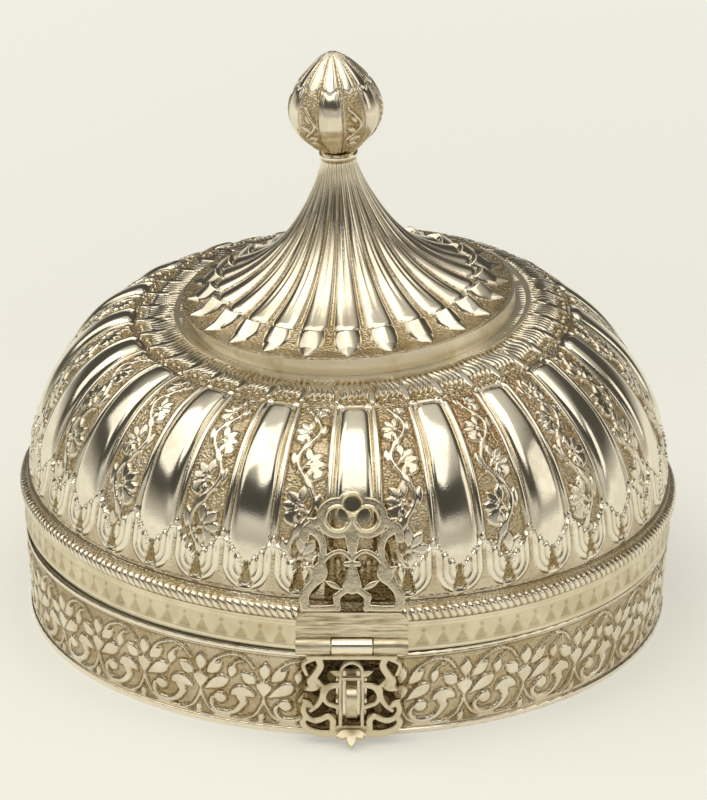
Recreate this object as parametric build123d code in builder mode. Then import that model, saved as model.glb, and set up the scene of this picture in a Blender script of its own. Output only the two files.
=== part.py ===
import os
from math import atan2, cos, degrees, pi, radians, sin, tan

from build123d import *

os.makedirs("parts", exist_ok=True)

# Domed spice box of silver sheet. The origin is at the centre of the face it rests on,
# +Z is up and the hasp is at the front, toward -Y. All sizes are in millimetres.

# Base
rim_radius = 115.0  # outside of the wall at its top
wall_taper = 1.4
foot_radius = rim_radius - wall_taper  # outside of the wall at its bottom
wall_top = 28.8
wall_sheet = 1.2
foot_height = 2.2
foot_width = 5.0
foot_proud = 0.9
rim_wire_height = 1.4
rim_wire_proud = 0.3
floor_sheet = 1.2
bezel_sheet = 1.2
bezel_top = 35.0
ledge_top = 21.6
ledge_sheet = 1.4
ledge_width = 5.8
solder_gap = 0.05

# Lid: a worn lid that sits a little high at the left and at the back
lid_gap = 2.1  # between the rim wire and the band, at the middle
lid_rise_left = 1.7
lid_rise_back = 1.1
band_height = 10.8
band_sheet = 1.0
band_proud = 0.5
moulding_height = 6.1
moulding_proud = 2.3
moulding_root = 0.3
dome_step = 1.7  # from the rim in to the foot of the dome
dome_radius = rim_radius - dome_step
dome_rise = 60.2
dome_sheet = 1.2
dome_fullness = 2.1
dome_sections = 8
panel_count = 20
plain_bulge = 2.2  # height of a plain pillow over the foot of its sides, where it is most
chased_bulge = 0.6
ridge_proud = 0.35
ridge_half_width = 1.2
pillow_side = 1.7  # width of a pillow's steep side
pillow_shoulder = 0.65  # height of the side, as a share of the pillow
leaf_swell = 1.0  # of the lobes round the foot
leaf_turn = 19.0  # of the dome's profile, where the leaves end

# Crown and spire: the crown sits askew on the dome, and the spire on the crown
crown_share = 0.5435  # of the rim
crown_radius = rim_radius * crown_share
crown_lean_left = 3.9
crown_lean_forward = 4.2
spire_lean_left = 0.6
spire_lean_forward = -1.0
spire_shift_left = 1.6  # the spire was soldered off the collar's middle
crown_lip_height = 1.8
crown_lip_width = 1.8
crown_floor_sheet = 0.5
collar_step = 5.4
collar_radius = crown_radius - collar_step
collar_height = 5.6
collar_sheet = 1.2
skirt_overhang = 0.9
skirt_edge_radius = collar_radius + skirt_overhang
skirt_edge_sheet = 0.8
skirt_edge_width = 3.5
skirt_radius = skirt_edge_radius - skirt_edge_width
neck_radius = 6.0
neck_height = 56.0
skirt_flare = 0.39  # share of the radius that opens close to the edge
skirt_sheet = 0.9
flute_count = 24
flute_bulge = 0.055  # height of a flute over the radius there
finial_collar_radius = 6.9
finial_collar_height = 2.6
bud_radius = 16.1
bud_height = 36.0
bud_panel_count = 12
bud_bulge = 0.045
rod_radius = 1.6
rod_clearance = 0.08
rod_tail = 5.0
rod_end_gap = 0.5
washer_radius = 6.0
washer_sheet = 1.0
washer_gap = 0.2
nut_across_flats = 6.0
nut_height = 2.5

# Hasp and its hinge
hasp_axis_z = 35.4
hasp_barrel_radius = 2.8
hasp_pin_radius = 1.1
pin_clearance = 0.05
strap_half_width = 18.2
strap_bottom = 38.6
strap_top = 47.2
strap_sheet = 1.8
strap_gap = 0.3  # behind the strap, to the front of the moulding
strap_back = rim_radius + moulding_proud + strap_gap
hasp_axis_step = 2.0  # from the back of the strap out to the axis of the pin
hasp_axis_y = -strap_back - hasp_axis_step
strap_corner = 4.0
centre_knuckle_half = 6.7
knuckle_gap = 0.3
crest_tilt = 18.0
crest_sheet = 1.4
hasp_sheet = 1.6
hasp_slot_width = 5.8
hasp_slot_top = 23.2
hasp_slot_bottom = 8.2
hasp_slot_corner = 1.2
hasp_bottom = 3.2
tip_tilt = 50.0
tip_sheet = 1.5
tip_height = 4.6
tip_proud = 0.5

# Staple
staple_width = 3.7
staple_sheet = 1.4
staple_bottom = 11.3
staple_top = 22.2
staple_proud = 11.0
staple_reach = rim_radius + staple_proud
staple_plate_sheet = 0.9
staple_plate_half_width = 5.0
staple_plate_margin = 3.2
staple_plate_corner = 1.5
staple_corner = 3.6

# Rear hinge
rear_axis_step = 4.2
rear_axis_y = rim_radius + rear_axis_step
rear_axis_z = 32.2
rear_barrel_radius = 2.6
rear_pin_radius = 1.25
rear_half_width = 14.0
rear_knuckles = 5
leaf_sheet = 1.2
leaf_gap = 0.2
web_overlap = 1.0
web_slope = 0.3
base_leaf_bottom = 9.5
base_leaf_top = 28.6
lid_leaf_bottom = 35.2
lid_leaf_top = 43.6
rivet_radius = 1.0
rivet_head_radius = 1.8
rivet_head_height = 0.7
rivet_edge = 5.5  # from the lower edge of the base leaf
rivet_spread = 4.6  # degrees between rivets, seen from the axis of the box
rivet_clearance = 0.03

# Tray and cups
tray_clearance = 2.5
tray_sheet = 1.2
tray_edge_height = 2.2
finger_slot_length = 18.0
finger_slot_width = 8.0
finger_slot_edge = 13.6  # from the tray's edge in to the middle of the slot
outer_cups = 6
cup_ring_share = 0.615  # of the tray's radius
cup_rim_share = 0.28
cup_rim_width = 2.0
cup_sheet = 0.9
cup_floor_clearance = 1.2
cup_corner = 5.0
cup_hole_clearance = 0.6


# Frames of reference


def leaning_plane(frame, height, lean_left, lean_forward, shift_left=0.0):
    """Plane across a frame's axis at a height, tipped to the left and to the front."""
    normal = frame.z_dir - frame.x_dir * tan(radians(lean_left)) - frame.y_dir * tan(radians(lean_forward))
    normal = normal.normalized()
    along = frame.x_dir - normal * frame.x_dir.dot(normal)
    return Plane(origin=frame.from_local_coords(Vector(-shift_left, 0, height)), x_dir=along, z_dir=normal)


def radial_plane(frame):
    """Plane through a frame's axis, where local X is the radius and local Y the height."""
    return Plane(origin=frame.origin, x_dir=frame.x_dir, z_dir=-frame.y_dir)


def axis_of(frame):
    return Axis(frame.origin, frame.z_dir)


rim_top = wall_top + rim_wire_height
lid_bottom = rim_top + lid_gap
lid_tip_left = -degrees(atan2(lid_rise_left, rim_radius))
lid_tip_forward = degrees(atan2(lid_rise_back, rim_radius))
lid_frame = leaning_plane(Plane.XY, lid_bottom, lid_tip_left, lid_tip_forward)
band_outer = rim_radius + band_proud
band_inner = band_outer - band_sheet
dome_bottom = band_height + moulding_height
crown_height = dome_bottom + dome_rise
crown_frame = leaning_plane(lid_frame, crown_height, crown_lean_left, crown_lean_forward)
spire_frame = leaning_plane(crown_frame, 0, spire_lean_left, spire_lean_forward, spire_shift_left)


def ring_section(inner, outer, bottom, top):
    """Rectangle of a ring's wall, in a radial sketch."""
    with Locations(((inner + outer) / 2, (bottom + top) / 2)):
        Rectangle(outer - inner, top - bottom)


def lobed_ring(radius, bulges, start):
    """Closed outline of arcs, one for each bulge, that rise from a circle by that much."""
    step = 360 / len(bulges)
    for index, bulge in enumerate(bulges):
        middle = start + index * step
        first = radians(middle - step / 2)
        last = radians(middle + step / 2)
        peak = radius + bulge
        ThreePointArc(
            (radius * cos(first), radius * sin(first)),
            (peak * cos(radians(middle)), peak * sin(radians(middle))),
            (radius * cos(last), radius * sin(last)),
        )


def wall_inner_radius(height):
    """Inside radius of the tapered base wall at a height."""
    share = (height - foot_height) / (wall_top - foot_height)
    return foot_radius + (rim_radius - foot_radius) * share - wall_sheet


def radial_sketch_plane(angle):
    """Plane through the Z axis at an angle, where local X is the radius and local Y is Z."""
    across = (sin(radians(angle)), -cos(radians(angle)), 0)
    return Plane(origin=(0, 0, 0), x_dir=(cos(radians(angle)), sin(radians(angle)), 0), z_dir=across)


def rivet_planes(radius, height):
    """One plane for each of the three rivets of a rear hinge leaf, facing outward."""
    planes = []
    for index in (-1, 0, 1):
        angle = radians(90 + index * rivet_spread)
        origin = (radius * cos(angle), radius * sin(angle), height)
        planes.append(Plane(origin=origin, x_dir=(-sin(angle), cos(angle), 0), z_dir=(cos(angle), sin(angle), 0)))
    return planes


# Base

rivet_hole_radius = rivet_radius + rivet_clearance
base_rivet_height = base_leaf_bottom + rivet_edge
lid_rivet_height = (lid_leaf_bottom + lid_leaf_top) / 2
foot_outer = foot_radius + foot_proud
rivet_tail = rim_radius - 2 * wall_sheet

with BuildPart() as base_foot_wire:
    with BuildSketch(Plane.XZ):
        ring_section(foot_outer - foot_width, foot_outer, 0, foot_height)
    revolve(axis=Axis.Z)
    fillet(base_foot_wire.edges().filter_by(GeomType.CIRCLE).sort_by(SortBy.RADIUS)[-2:], foot_height / 4)
base_foot_wire.part.label = "base_foot_wire"

with BuildPart() as base_wall:
    with BuildSketch(Plane.XZ):
        with BuildLine():
            Polyline(
                (foot_radius - wall_sheet, foot_height),
                (foot_radius, foot_height),
                (rim_radius, wall_top),
                (rim_radius - wall_sheet, wall_top),
                close=True,
            )
        make_face()
    revolve(axis=Axis.Z)
    with BuildSketch(*rivet_planes(rivet_tail, base_rivet_height)):
        Circle(rivet_hole_radius)
    extrude(amount=2 * wall_sheet + leaf_sheet, mode=Mode.SUBTRACT)
base_wall.part.label = "base_wall"

with BuildPart() as base_rim_wire:
    with BuildSketch(Plane.XZ):
        ring_section(rim_radius - wall_sheet, rim_radius + rim_wire_proud, wall_top, rim_top)
    revolve(axis=Axis.Z)
    fillet(base_rim_wire.edges().filter_by(GeomType.CIRCLE).sort_by(SortBy.RADIUS)[-2:], rim_wire_height / 3)
base_rim_wire.part.label = "base_rim_wire"

floor_top = floor_sheet
with BuildPart() as base_plate:
    with BuildSketch():
        Circle(foot_outer - foot_width - solder_gap)
    extrude(amount=floor_sheet)
base_plate.part.label = "base_plate"

ledge_outer = wall_inner_radius(ledge_top - ledge_sheet) - solder_gap
with BuildPart() as tray_ledge:
    with BuildSketch(Plane.XZ):
        ring_section(ledge_outer - ledge_width, ledge_outer, ledge_top - ledge_sheet, ledge_top)
    revolve(axis=Axis.Z)
tray_ledge.part.label = "tray_ledge"

bezel_outer = ledge_outer
bezel_inner = bezel_outer - bezel_sheet
with BuildPart() as base_bezel:
    with BuildSketch(Plane.XZ):
        ring_section(bezel_inner, bezel_outer, ledge_top, bezel_top)
    revolve(axis=Axis.Z)
    fillet(base_bezel.edges().sort_by(Axis.Z)[-2:], bezel_sheet / 3)
base_bezel.part.label = "base_bezel"

staple_root = rim_radius + staple_plate_sheet + solder_gap
staple_middle = (staple_bottom + staple_top) / 2
staple_height = staple_top - staple_bottom
staple_depth = staple_reach - staple_root
with BuildPart() as hasp_staple:
    with BuildSketch(Plane.YZ.offset(-staple_width / 2)):
        with Locations((-staple_root, staple_middle)):
            RectangleRounded(2 * staple_depth, staple_height, staple_corner)
            RectangleRounded(
                2 * (staple_depth - staple_sheet),
                staple_height - 2 * staple_sheet,
                staple_corner - staple_sheet,
                mode=Mode.SUBTRACT,
            )
        with Locations((-staple_root - staple_depth / 2, staple_middle)):
            Rectangle(staple_depth, 2 * staple_height, mode=Mode.INTERSECT)
    extrude(amount=staple_width)
    fillet(hasp_staple.edges().filter_by(Plane.YZ).group_by(Axis.X)[0], staple_sheet / 4)
    fillet(hasp_staple.edges().filter_by(Plane.YZ).group_by(Axis.X)[-1], staple_sheet / 4)
hasp_staple.part.label = "hasp_staple"

with BuildPart() as staple_plate:
    with BuildSketch(Plane.XZ.offset(staple_root - staple_plate_sheet)):
        with Locations((0, staple_middle)):
            RectangleRounded(
                2 * staple_plate_half_width,
                staple_height + 2 * staple_plate_margin,
                staple_plate_corner,
            )
    extrude(amount=staple_plate_sheet)
staple_plate.part.label = "staple_plate"

# Rear hinge

base_leaf_inner = rim_radius + leaf_gap
lid_leaf_inner = band_outer + leaf_gap
base_leaf_half = degrees(rear_half_width / (base_leaf_inner + leaf_sheet))
lid_leaf_half = degrees(rear_half_width / (lid_leaf_inner + leaf_sheet))
rear_pitch = 2 * rear_half_width / rear_knuckles


def rear_barrel_section(leaf_inner, leaf_edge):
    """Section of a hinge barrel with its web to the leaf, across the pin."""
    with BuildSketch() as section:
        with Locations((rear_axis_y, rear_axis_z)):
            Circle(rear_barrel_radius)
        with BuildLine():
            Polyline(
                (leaf_inner, leaf_edge),
                (leaf_inner + leaf_sheet, leaf_edge),
                (rear_axis_y, rear_axis_z + (leaf_edge - rear_axis_z) * web_slope),
                (rear_axis_y, rear_axis_z),
                (leaf_inner + leaf_sheet, rear_axis_z),
                close=True,
            )
        make_face()
        with Locations((rear_axis_y, rear_axis_z)):
            Circle(rear_pin_radius + pin_clearance, mode=Mode.SUBTRACT)
    return section.sketch


base_barrel_section = rear_barrel_section(base_leaf_inner, base_leaf_top - web_overlap)
lid_barrel_section = rear_barrel_section(lid_leaf_inner, lid_leaf_bottom + web_overlap)

with BuildPart() as rear_hinge_base_leaf:
    with BuildSketch(radial_sketch_plane(90 - base_leaf_half)):
        ring_section(base_leaf_inner, base_leaf_inner + leaf_sheet, base_leaf_bottom, base_leaf_top)
    revolve(axis=Axis.Z, revolution_arc=2 * base_leaf_half)
    with BuildSketch(*rivet_planes(rivet_tail, base_rivet_height)):
        Circle(rivet_hole_radius)
    extrude(amount=2 * wall_sheet + 2 * leaf_sheet, mode=Mode.SUBTRACT)
    for place in range(0, rear_knuckles, 2):
        with BuildSketch(Plane.YZ.offset(-rear_half_width + place * rear_pitch + knuckle_gap / 2)):
            add(base_barrel_section)
        extrude(amount=rear_pitch - knuckle_gap)
rear_hinge_base_leaf.part.label = "rear_hinge_base_leaf"

with BuildPart() as rear_hinge_lid_leaf:
    with BuildSketch(radial_sketch_plane(90 - lid_leaf_half)):
        ring_section(lid_leaf_inner, lid_leaf_inner + leaf_sheet, lid_leaf_bottom, lid_leaf_top)
    revolve(axis=Axis.Z, revolution_arc=2 * lid_leaf_half)
    with BuildSketch(*rivet_planes(rivet_tail, lid_rivet_height)):
        Circle(rivet_hole_radius)
    extrude(amount=2 * wall_sheet + 2 * leaf_sheet, mode=Mode.SUBTRACT)
    for place in range(1, rear_knuckles, 2):
        with BuildSketch(Plane.YZ.offset(-rear_half_width + place * rear_pitch + knuckle_gap / 2)):
            add(lid_barrel_section)
        extrude(amount=rear_pitch - knuckle_gap)
rear_hinge_lid_leaf.part.label = "rear_hinge_lid_leaf"

with BuildPart() as rear_hinge_pin:
    with BuildSketch(Plane.YZ.offset(-rear_half_width)):
        with Locations((rear_axis_y, rear_axis_z)):
            Circle(rear_pin_radius)
    extrude(amount=2 * rear_half_width)
rear_hinge_pin.part.label = "rear_hinge_pin"

with BuildPart() as rear_hinge_base_rivets:
    with BuildSketch(*rivet_planes(rivet_tail, base_rivet_height)):
        Circle(rivet_radius)
    extrude(amount=base_leaf_inner + leaf_sheet - rivet_tail + solder_gap)
    with BuildSketch(*rivet_planes(base_leaf_inner + leaf_sheet + solder_gap, base_rivet_height)):
        Circle(rivet_head_radius)
    extrude(amount=rivet_head_height, taper=25)
rear_hinge_base_rivets.part.label = "rear_hinge_base_rivets"

with BuildPart() as rear_hinge_lid_rivets:
    with BuildSketch(*rivet_planes(band_inner - band_sheet / 2, lid_rivet_height)):
        Circle(rivet_radius)
    extrude(amount=lid_leaf_inner + leaf_sheet - band_inner + band_sheet / 2 + solder_gap)
    with BuildSketch(*rivet_planes(lid_leaf_inner + leaf_sheet + solder_gap, lid_rivet_height)):
        Circle(rivet_head_radius)
    extrude(amount=rivet_head_height, taper=25)
rear_hinge_lid_rivets.part.label = "rear_hinge_lid_rivets"

# Lid

with BuildPart() as lid_band:
    with BuildSketch(radial_plane(lid_frame)):
        ring_section(band_inner, band_outer, 0, band_height)
    revolve(axis=axis_of(lid_frame))
    with BuildSketch(*rivet_planes(rivet_tail, lid_rivet_height)):
        Circle(rivet_hole_radius)
    extrude(amount=2 * wall_sheet + 2 * leaf_sheet, mode=Mode.SUBTRACT)
lid_band.part.label = "lid_band"


def dome_level(turn, inward):
    """Plane and radius of the dome at a turn of its profile, from 0 at the rim to 90 at the crown.

    The profile is close to a quarter ellipse. It leans forward more and more toward the
    crown, and to the left only close to it.
    """
    rise_share = sin(radians(turn)) ** (2 / dome_fullness)
    height = dome_bottom + dome_rise * rise_share - inward * sin(radians(turn))
    radius = crown_radius + (dome_radius - crown_radius) * cos(radians(turn)) - inward * cos(radians(turn))
    plane = leaning_plane(
        lid_frame,
        height,
        crown_lean_left * rise_share**16,
        crown_lean_forward * rise_share**4,
    )
    return plane, radius


def panel_fade(turn):
    """How far the panels stand out: little at the rim and the crown, most half way."""
    return 0.15 + 0.85 * sin(radians(2 * turn))


moulding_inner = dome_radius - dome_sheet - plain_bulge * panel_fade(0)
with BuildPart() as rope_moulding:
    with BuildSketch(radial_plane(lid_frame)):
        with BuildLine():
            Line((band_outer - moulding_root, dome_bottom), (moulding_inner, dome_bottom))
            Line((moulding_inner, dome_bottom), (moulding_inner, band_height))
            Line((moulding_inner, band_height), (band_outer - moulding_root, band_height))
            ThreePointArc(
                (band_outer - moulding_root, band_height),
                (rim_radius + moulding_proud, (band_height + dome_bottom) / 2),
                (band_outer - moulding_root, dome_bottom),
            )
        make_face()
    revolve(axis=axis_of(lid_frame))
rope_moulding.part.label = "rope_moulding"


def polar(radius, angle):
    return (radius * cos(radians(angle)), radius * sin(radians(angle)))


def panelled_ring(radius, plain, chased):
    """Closed outline of plain pillows and chased panels by turns, with a ridge at each edge.

    The radius is that of the foot of the pillows' sides. Plain and chased are the heights of
    the panels over it. The first plain panel is at the front.
    """
    half = 90 / panel_count
    ridge = ridge_half_width / radius
    side = (ridge_half_width + pillow_side) / radius
    to_ridge = half - degrees(ridge)
    to_shoulder = half - degrees(side)
    ridge_top = radius + ridge_proud
    shoulder = radius + ridge_proud + (plain - ridge_proud) * pillow_shoulder
    for index in range(panel_count):
        middle = -90 + 4 * half * index
        beside = middle + 2 * half
        Polyline(polar(ridge_top, middle - to_ridge), polar(shoulder, middle - to_shoulder))
        ThreePointArc(
            polar(shoulder, middle - to_shoulder),
            polar(radius + plain, middle),
            polar(shoulder, middle + to_shoulder),
        )
        Polyline(polar(shoulder, middle + to_shoulder), polar(ridge_top, middle + to_ridge))
        Line(polar(ridge_top, middle + to_ridge), polar(ridge_top, beside - to_ridge))
        ThreePointArc(
            polar(ridge_top, beside - to_ridge),
            polar(radius + chased, beside),
            polar(ridge_top, beside + to_ridge),
        )
        Line(polar(ridge_top, beside + to_ridge), polar(ridge_top, beside + 2 * half - to_ridge))


dome_turns = [90 * index / (dome_sections - 1) for index in range(dome_sections)]
with BuildPart() as dome_shell:
    for turn in dome_turns:
        level, level_radius = dome_level(turn, 0)
        fade = panel_fade(turn)
        leaf_share = max(0, 1 - turn / leaf_turn)
        plain_height = plain_bulge * fade * (1 - leaf_share) + leaf_swell * leaf_share
        chased_height = chased_bulge * fade * (1 - leaf_share) + leaf_swell * leaf_share
        with BuildSketch(level):
            with BuildLine():
                panelled_ring(level_radius - plain_bulge * fade, plain_height, chased_height)
            make_face()
    loft()
    for turn in dome_turns:
        level, level_radius = dome_level(turn, dome_sheet)
        with BuildSketch(level):
            Circle(level_radius - plain_bulge * panel_fade(turn))
    loft(mode=Mode.SUBTRACT)
    with BuildSketch(spire_frame.offset(-2 * dome_sheet)):
        Circle(rod_radius + 2 * rod_clearance)
    extrude(amount=3 * dome_sheet, mode=Mode.SUBTRACT)
dome_shell.part.label = "dome_shell"

with BuildPart() as crown_ring:
    with BuildSketch(radial_plane(crown_frame)):
        ring_section(collar_radius + 2 * solder_gap, crown_radius, 0, crown_floor_sheet)
        ring_section(crown_radius - crown_lip_width, crown_radius, 0, crown_lip_height)
    revolve(axis=axis_of(crown_frame))
    lip_edges = crown_ring.edges().filter_by(GeomType.CIRCLE).sort_by_distance(crown_frame.origin)[-3:-1]
    fillet(lip_edges, crown_lip_width / 3)
crown_ring.part.label = "crown_ring"

with BuildPart() as spire_collar:
    with BuildSketch(radial_plane(crown_frame)):
        ring_section(collar_radius - collar_sheet, collar_radius, 0, 2 * collar_height)
    revolve(axis=axis_of(crown_frame))
    split(bisect_by=spire_frame.offset(collar_height), keep=Keep.BOTTOM)
spire_collar.part.label = "spire_collar"


skirt_bottom = collar_height + skirt_edge_sheet


def skirt_outline(share):
    """Height and radius of the spire at a share of its height: a hollow cone that flares at its foot."""
    height = skirt_bottom + (neck_height - skirt_bottom) * share
    opened = (1 - skirt_flare) * (1 - share) ** 1.4 + skirt_flare * (1 - share) ** 6
    return height, neck_radius + (skirt_radius - neck_radius) * opened


skirt_shares = (0, 0.025, 0.06, 0.12, 0.22, 0.36, 0.54, 0.75, 1)
with BuildPart() as spire_skirt:
    for share in skirt_shares:
        height, radius = skirt_outline(share)
        with BuildSketch(spire_frame.offset(height)):
            with BuildLine():
                lobed_ring(radius * (1 - flute_bulge), [radius * flute_bulge] * flute_count, -90)
            make_face()
    loft()
    with BuildSketch(spire_frame.offset(collar_height)):
        Circle(skirt_edge_radius)
    extrude(amount=skirt_edge_sheet)
    with BuildSketch(radial_plane(spire_frame)):
        with BuildLine():
            inner_points = []
            for share in skirt_shares[:-1]:
                height, radius = skirt_outline(share)
                inner_points.append((radius * (1 - 2 * flute_bulge) - skirt_sheet, height - skirt_sheet))
            hollow = Spline(*inner_points)
            Polyline(
                hollow @ 1,
                (0, inner_points[-1][1]),
                (0, collar_height - skirt_sheet),
                (inner_points[0][0], collar_height - skirt_sheet),
                hollow @ 0,
            )
        make_face()
    revolve(axis=axis_of(spire_frame), mode=Mode.SUBTRACT)
    with BuildSketch(spire_frame.offset(collar_height)):
        Circle(rod_radius + 2 * rod_clearance)
    extrude(amount=neck_height, mode=Mode.SUBTRACT)
spire_skirt.part.label = "spire_skirt"

bud_bottom = neck_height + finial_collar_height
collar_flat = finial_collar_radius - finial_collar_height / 2
with BuildPart() as finial_collar:
    with BuildSketch(radial_plane(spire_frame)):
        with BuildLine():
            inner_radius = rod_radius + rod_clearance
            Polyline(
                (collar_flat, neck_height),
                (inner_radius, neck_height),
                (inner_radius, bud_bottom),
                (collar_flat, bud_bottom),
            )
            ThreePointArc(
                (collar_flat, bud_bottom),
                (finial_collar_radius, (neck_height + bud_bottom) / 2),
                (collar_flat, neck_height),
            )
        make_face()
    revolve(axis=axis_of(spire_frame))
finial_collar.part.label = "finial_collar"


def bud_outline(share):
    """Radius of the bud at a share of its height: drawn in below and to a point above."""
    swelling = sin(pi * (0.03 + 0.97 * share) ** 0.83) ** 0.8
    return bud_radius * swelling


bud_shares = (0, 0.04, 0.1, 0.18, 0.3, 0.44, 0.58, 0.72, 0.84, 0.93, 0.985)
bud_top = bud_bottom + bud_height
with BuildPart() as finial_bud:
    for share in bud_shares:
        radius = bud_outline(share)
        with BuildSketch(spire_frame.offset(bud_bottom + bud_height * share)):
            with BuildLine():
                lobed_ring(radius * (1 - bud_bulge), [radius * bud_bulge] * bud_panel_count, -90)
            make_face()
    loft()
    with BuildSketch(spire_frame.offset(bud_bottom)):
        Circle(rod_radius + rod_clearance)
    extrude(amount=bud_height / 4, mode=Mode.SUBTRACT)
finial_bud.part.label = "finial_bud"

washer_top = -dome_sheet - washer_gap
rod_bottom = washer_top - rod_tail
with BuildPart() as spire_rod:
    with BuildSketch(spire_frame.offset(rod_bottom)):
        Circle(rod_radius)
    extrude(amount=bud_bottom + bud_height / 4 - rod_end_gap - rod_bottom)
spire_rod.part.label = "spire_rod"

with BuildPart() as rod_washer:
    with BuildSketch(spire_frame.offset(washer_top - washer_sheet)):
        Circle(washer_radius)
        Circle(rod_radius + rod_clearance, mode=Mode.SUBTRACT)
    extrude(amount=washer_sheet)
rod_washer.part.label = "rod_washer"

with BuildPart() as rod_nut:
    with BuildSketch(spire_frame.offset(washer_top - washer_sheet - nut_height)):
        RegularPolygon(nut_across_flats / 2, 6, major_radius=False)
        Circle(rod_radius + rod_clearance, mode=Mode.SUBTRACT)
    extrude(amount=nut_height)
rod_nut.part.label = "rod_nut"

# Strap, crest and hasp at the front

front_strap_plane = Plane(origin=(0, -strap_back, 0), x_dir=(1, 0, 0), z_dir=(0, -1, 0))
with BuildPart() as hasp_strap:
    with BuildSketch(front_strap_plane):
        with Locations((0, (strap_bottom + strap_top) / 2)):
            Rectangle(2 * strap_half_width, strap_top - strap_bottom)
    extrude(amount=strap_sheet)
    fillet(hasp_strap.edges().filter_by(Axis.Y).group_by(Axis.Z)[-1], strap_corner)
    for start in (-strap_half_width, centre_knuckle_half + knuckle_gap):
        length = strap_half_width - centre_knuckle_half - knuckle_gap
        with BuildSketch(Plane.YZ.offset(start)):
            with Locations((hasp_axis_y, hasp_axis_z)):
                Circle(hasp_barrel_radius)
            with Locations((-strap_back - strap_sheet / 2, (hasp_axis_z + strap_bottom) / 2)):
                Rectangle(strap_sheet, strap_bottom - hasp_axis_z)
            with Locations((hasp_axis_y, hasp_axis_z)):
                Circle(hasp_pin_radius + pin_clearance, mode=Mode.SUBTRACT)
        extrude(amount=length)
hasp_strap.part.label = "hasp_strap"

with BuildPart() as hasp_pin:
    with BuildSketch(Plane.YZ.offset(-strap_half_width)):
        with Locations((hasp_axis_y, hasp_axis_z)):
            Circle(hasp_pin_radius)
    extrude(amount=2 * strap_half_width)
hasp_pin.part.label = "hasp_pin"

crest_plane = Plane(
    origin=(0, -strap_back - strap_sheet + crest_sheet, strap_top),
    x_dir=(1, 0, 0),
    z_dir=(0, -cos(radians(crest_tilt)), sin(radians(crest_tilt))),
)


def both_sides(points):
    """The points and their mirror image across the middle of the plate."""
    return [points, [(-x, y) for x, y in reversed(points)]]


# Windows of the pierced plates, on the right side of each
crest_wing = [(1.5, 21.6), (3.2, 24.3), (6.2, 26.0), (10.2, 27.0), (8.8, 22.8), (7.2, 20.6), (4.2, 21.0)]
crest_side = [(3.0, 18.0), (2.2, 15.4), (1.8, 13.6), (3.9, 10.0), (8.5, 11.4), (8.4, 14.6), (5.8, 18.0)]
hasp_upper = [(5.3, 30.2), (9.0, 30.0), (9.2, 27.6), (11.0, 24.4), (8.4, 21.6), (5.0, 22.8), (6.6, 25.6)]
hasp_lower = [(5.0, 11.0), (8.8, 13.4), (12.8, 9.8), (9.6, 7.2), (5.2, 8.6)]

with BuildPart() as hasp_crest:
    with BuildSketch(crest_plane):
        with BuildLine():
            foot = Line((0, 0), (14.6, 0))
            side = Spline(foot @ 1, (16.9, 3.4), (17.2, 6.6))
            scroll = Spline(side @ 1, (14.6, 10.0), (12.6, 13.0), (14.3, 16.0))
            waist = Spline(scroll @ 1, (11.2, 16.4), (10.2, 20.0), (12.3, 23.8), (14.7, 22.5))
            curl = ThreePointArc(waist @ 1, (16.2, 24.8), (13.6, 27.5))
            ear = Line(curl @ 1, (14.0, 29.8))
            shoulder = Spline(ear @ 1, (11.6, 29.9), (9.9, 32.2), (8.3, 34.6), (5.4, 35.4))
            Spline(shoulder @ 1, (4.1, 37.6), (2.2, 39.3), (0, 39.8), tangents=((0.3, 1), (-1, 0)))
            mirror(about=Plane.YZ)
        make_face()
        with Locations((0, 34.4)):
            Circle(2.5, mode=Mode.SUBTRACT)
        with Locations((-4.6, 30.3), (4.6, 30.3)):
            Circle(2.8, mode=Mode.SUBTRACT)
        with Locations((-9.7, 5.2), (9.7, 5.2)):
            Circle(3.2, mode=Mode.SUBTRACT)
        for points in both_sides(crest_wing) + both_sides(crest_side):
            with BuildLine():
                Spline(*points, periodic=True)
            make_face(mode=Mode.SUBTRACT)
        with BuildLine():
            Polyline((-3.8, 0.8), (-3.8, 3.6), (0, 6.2), (3.8, 3.6), (3.8, 0.8), close=True)
        make_face(mode=Mode.SUBTRACT)
    extrude(amount=crest_sheet)
hasp_crest.part.label = "hasp_crest"

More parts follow.
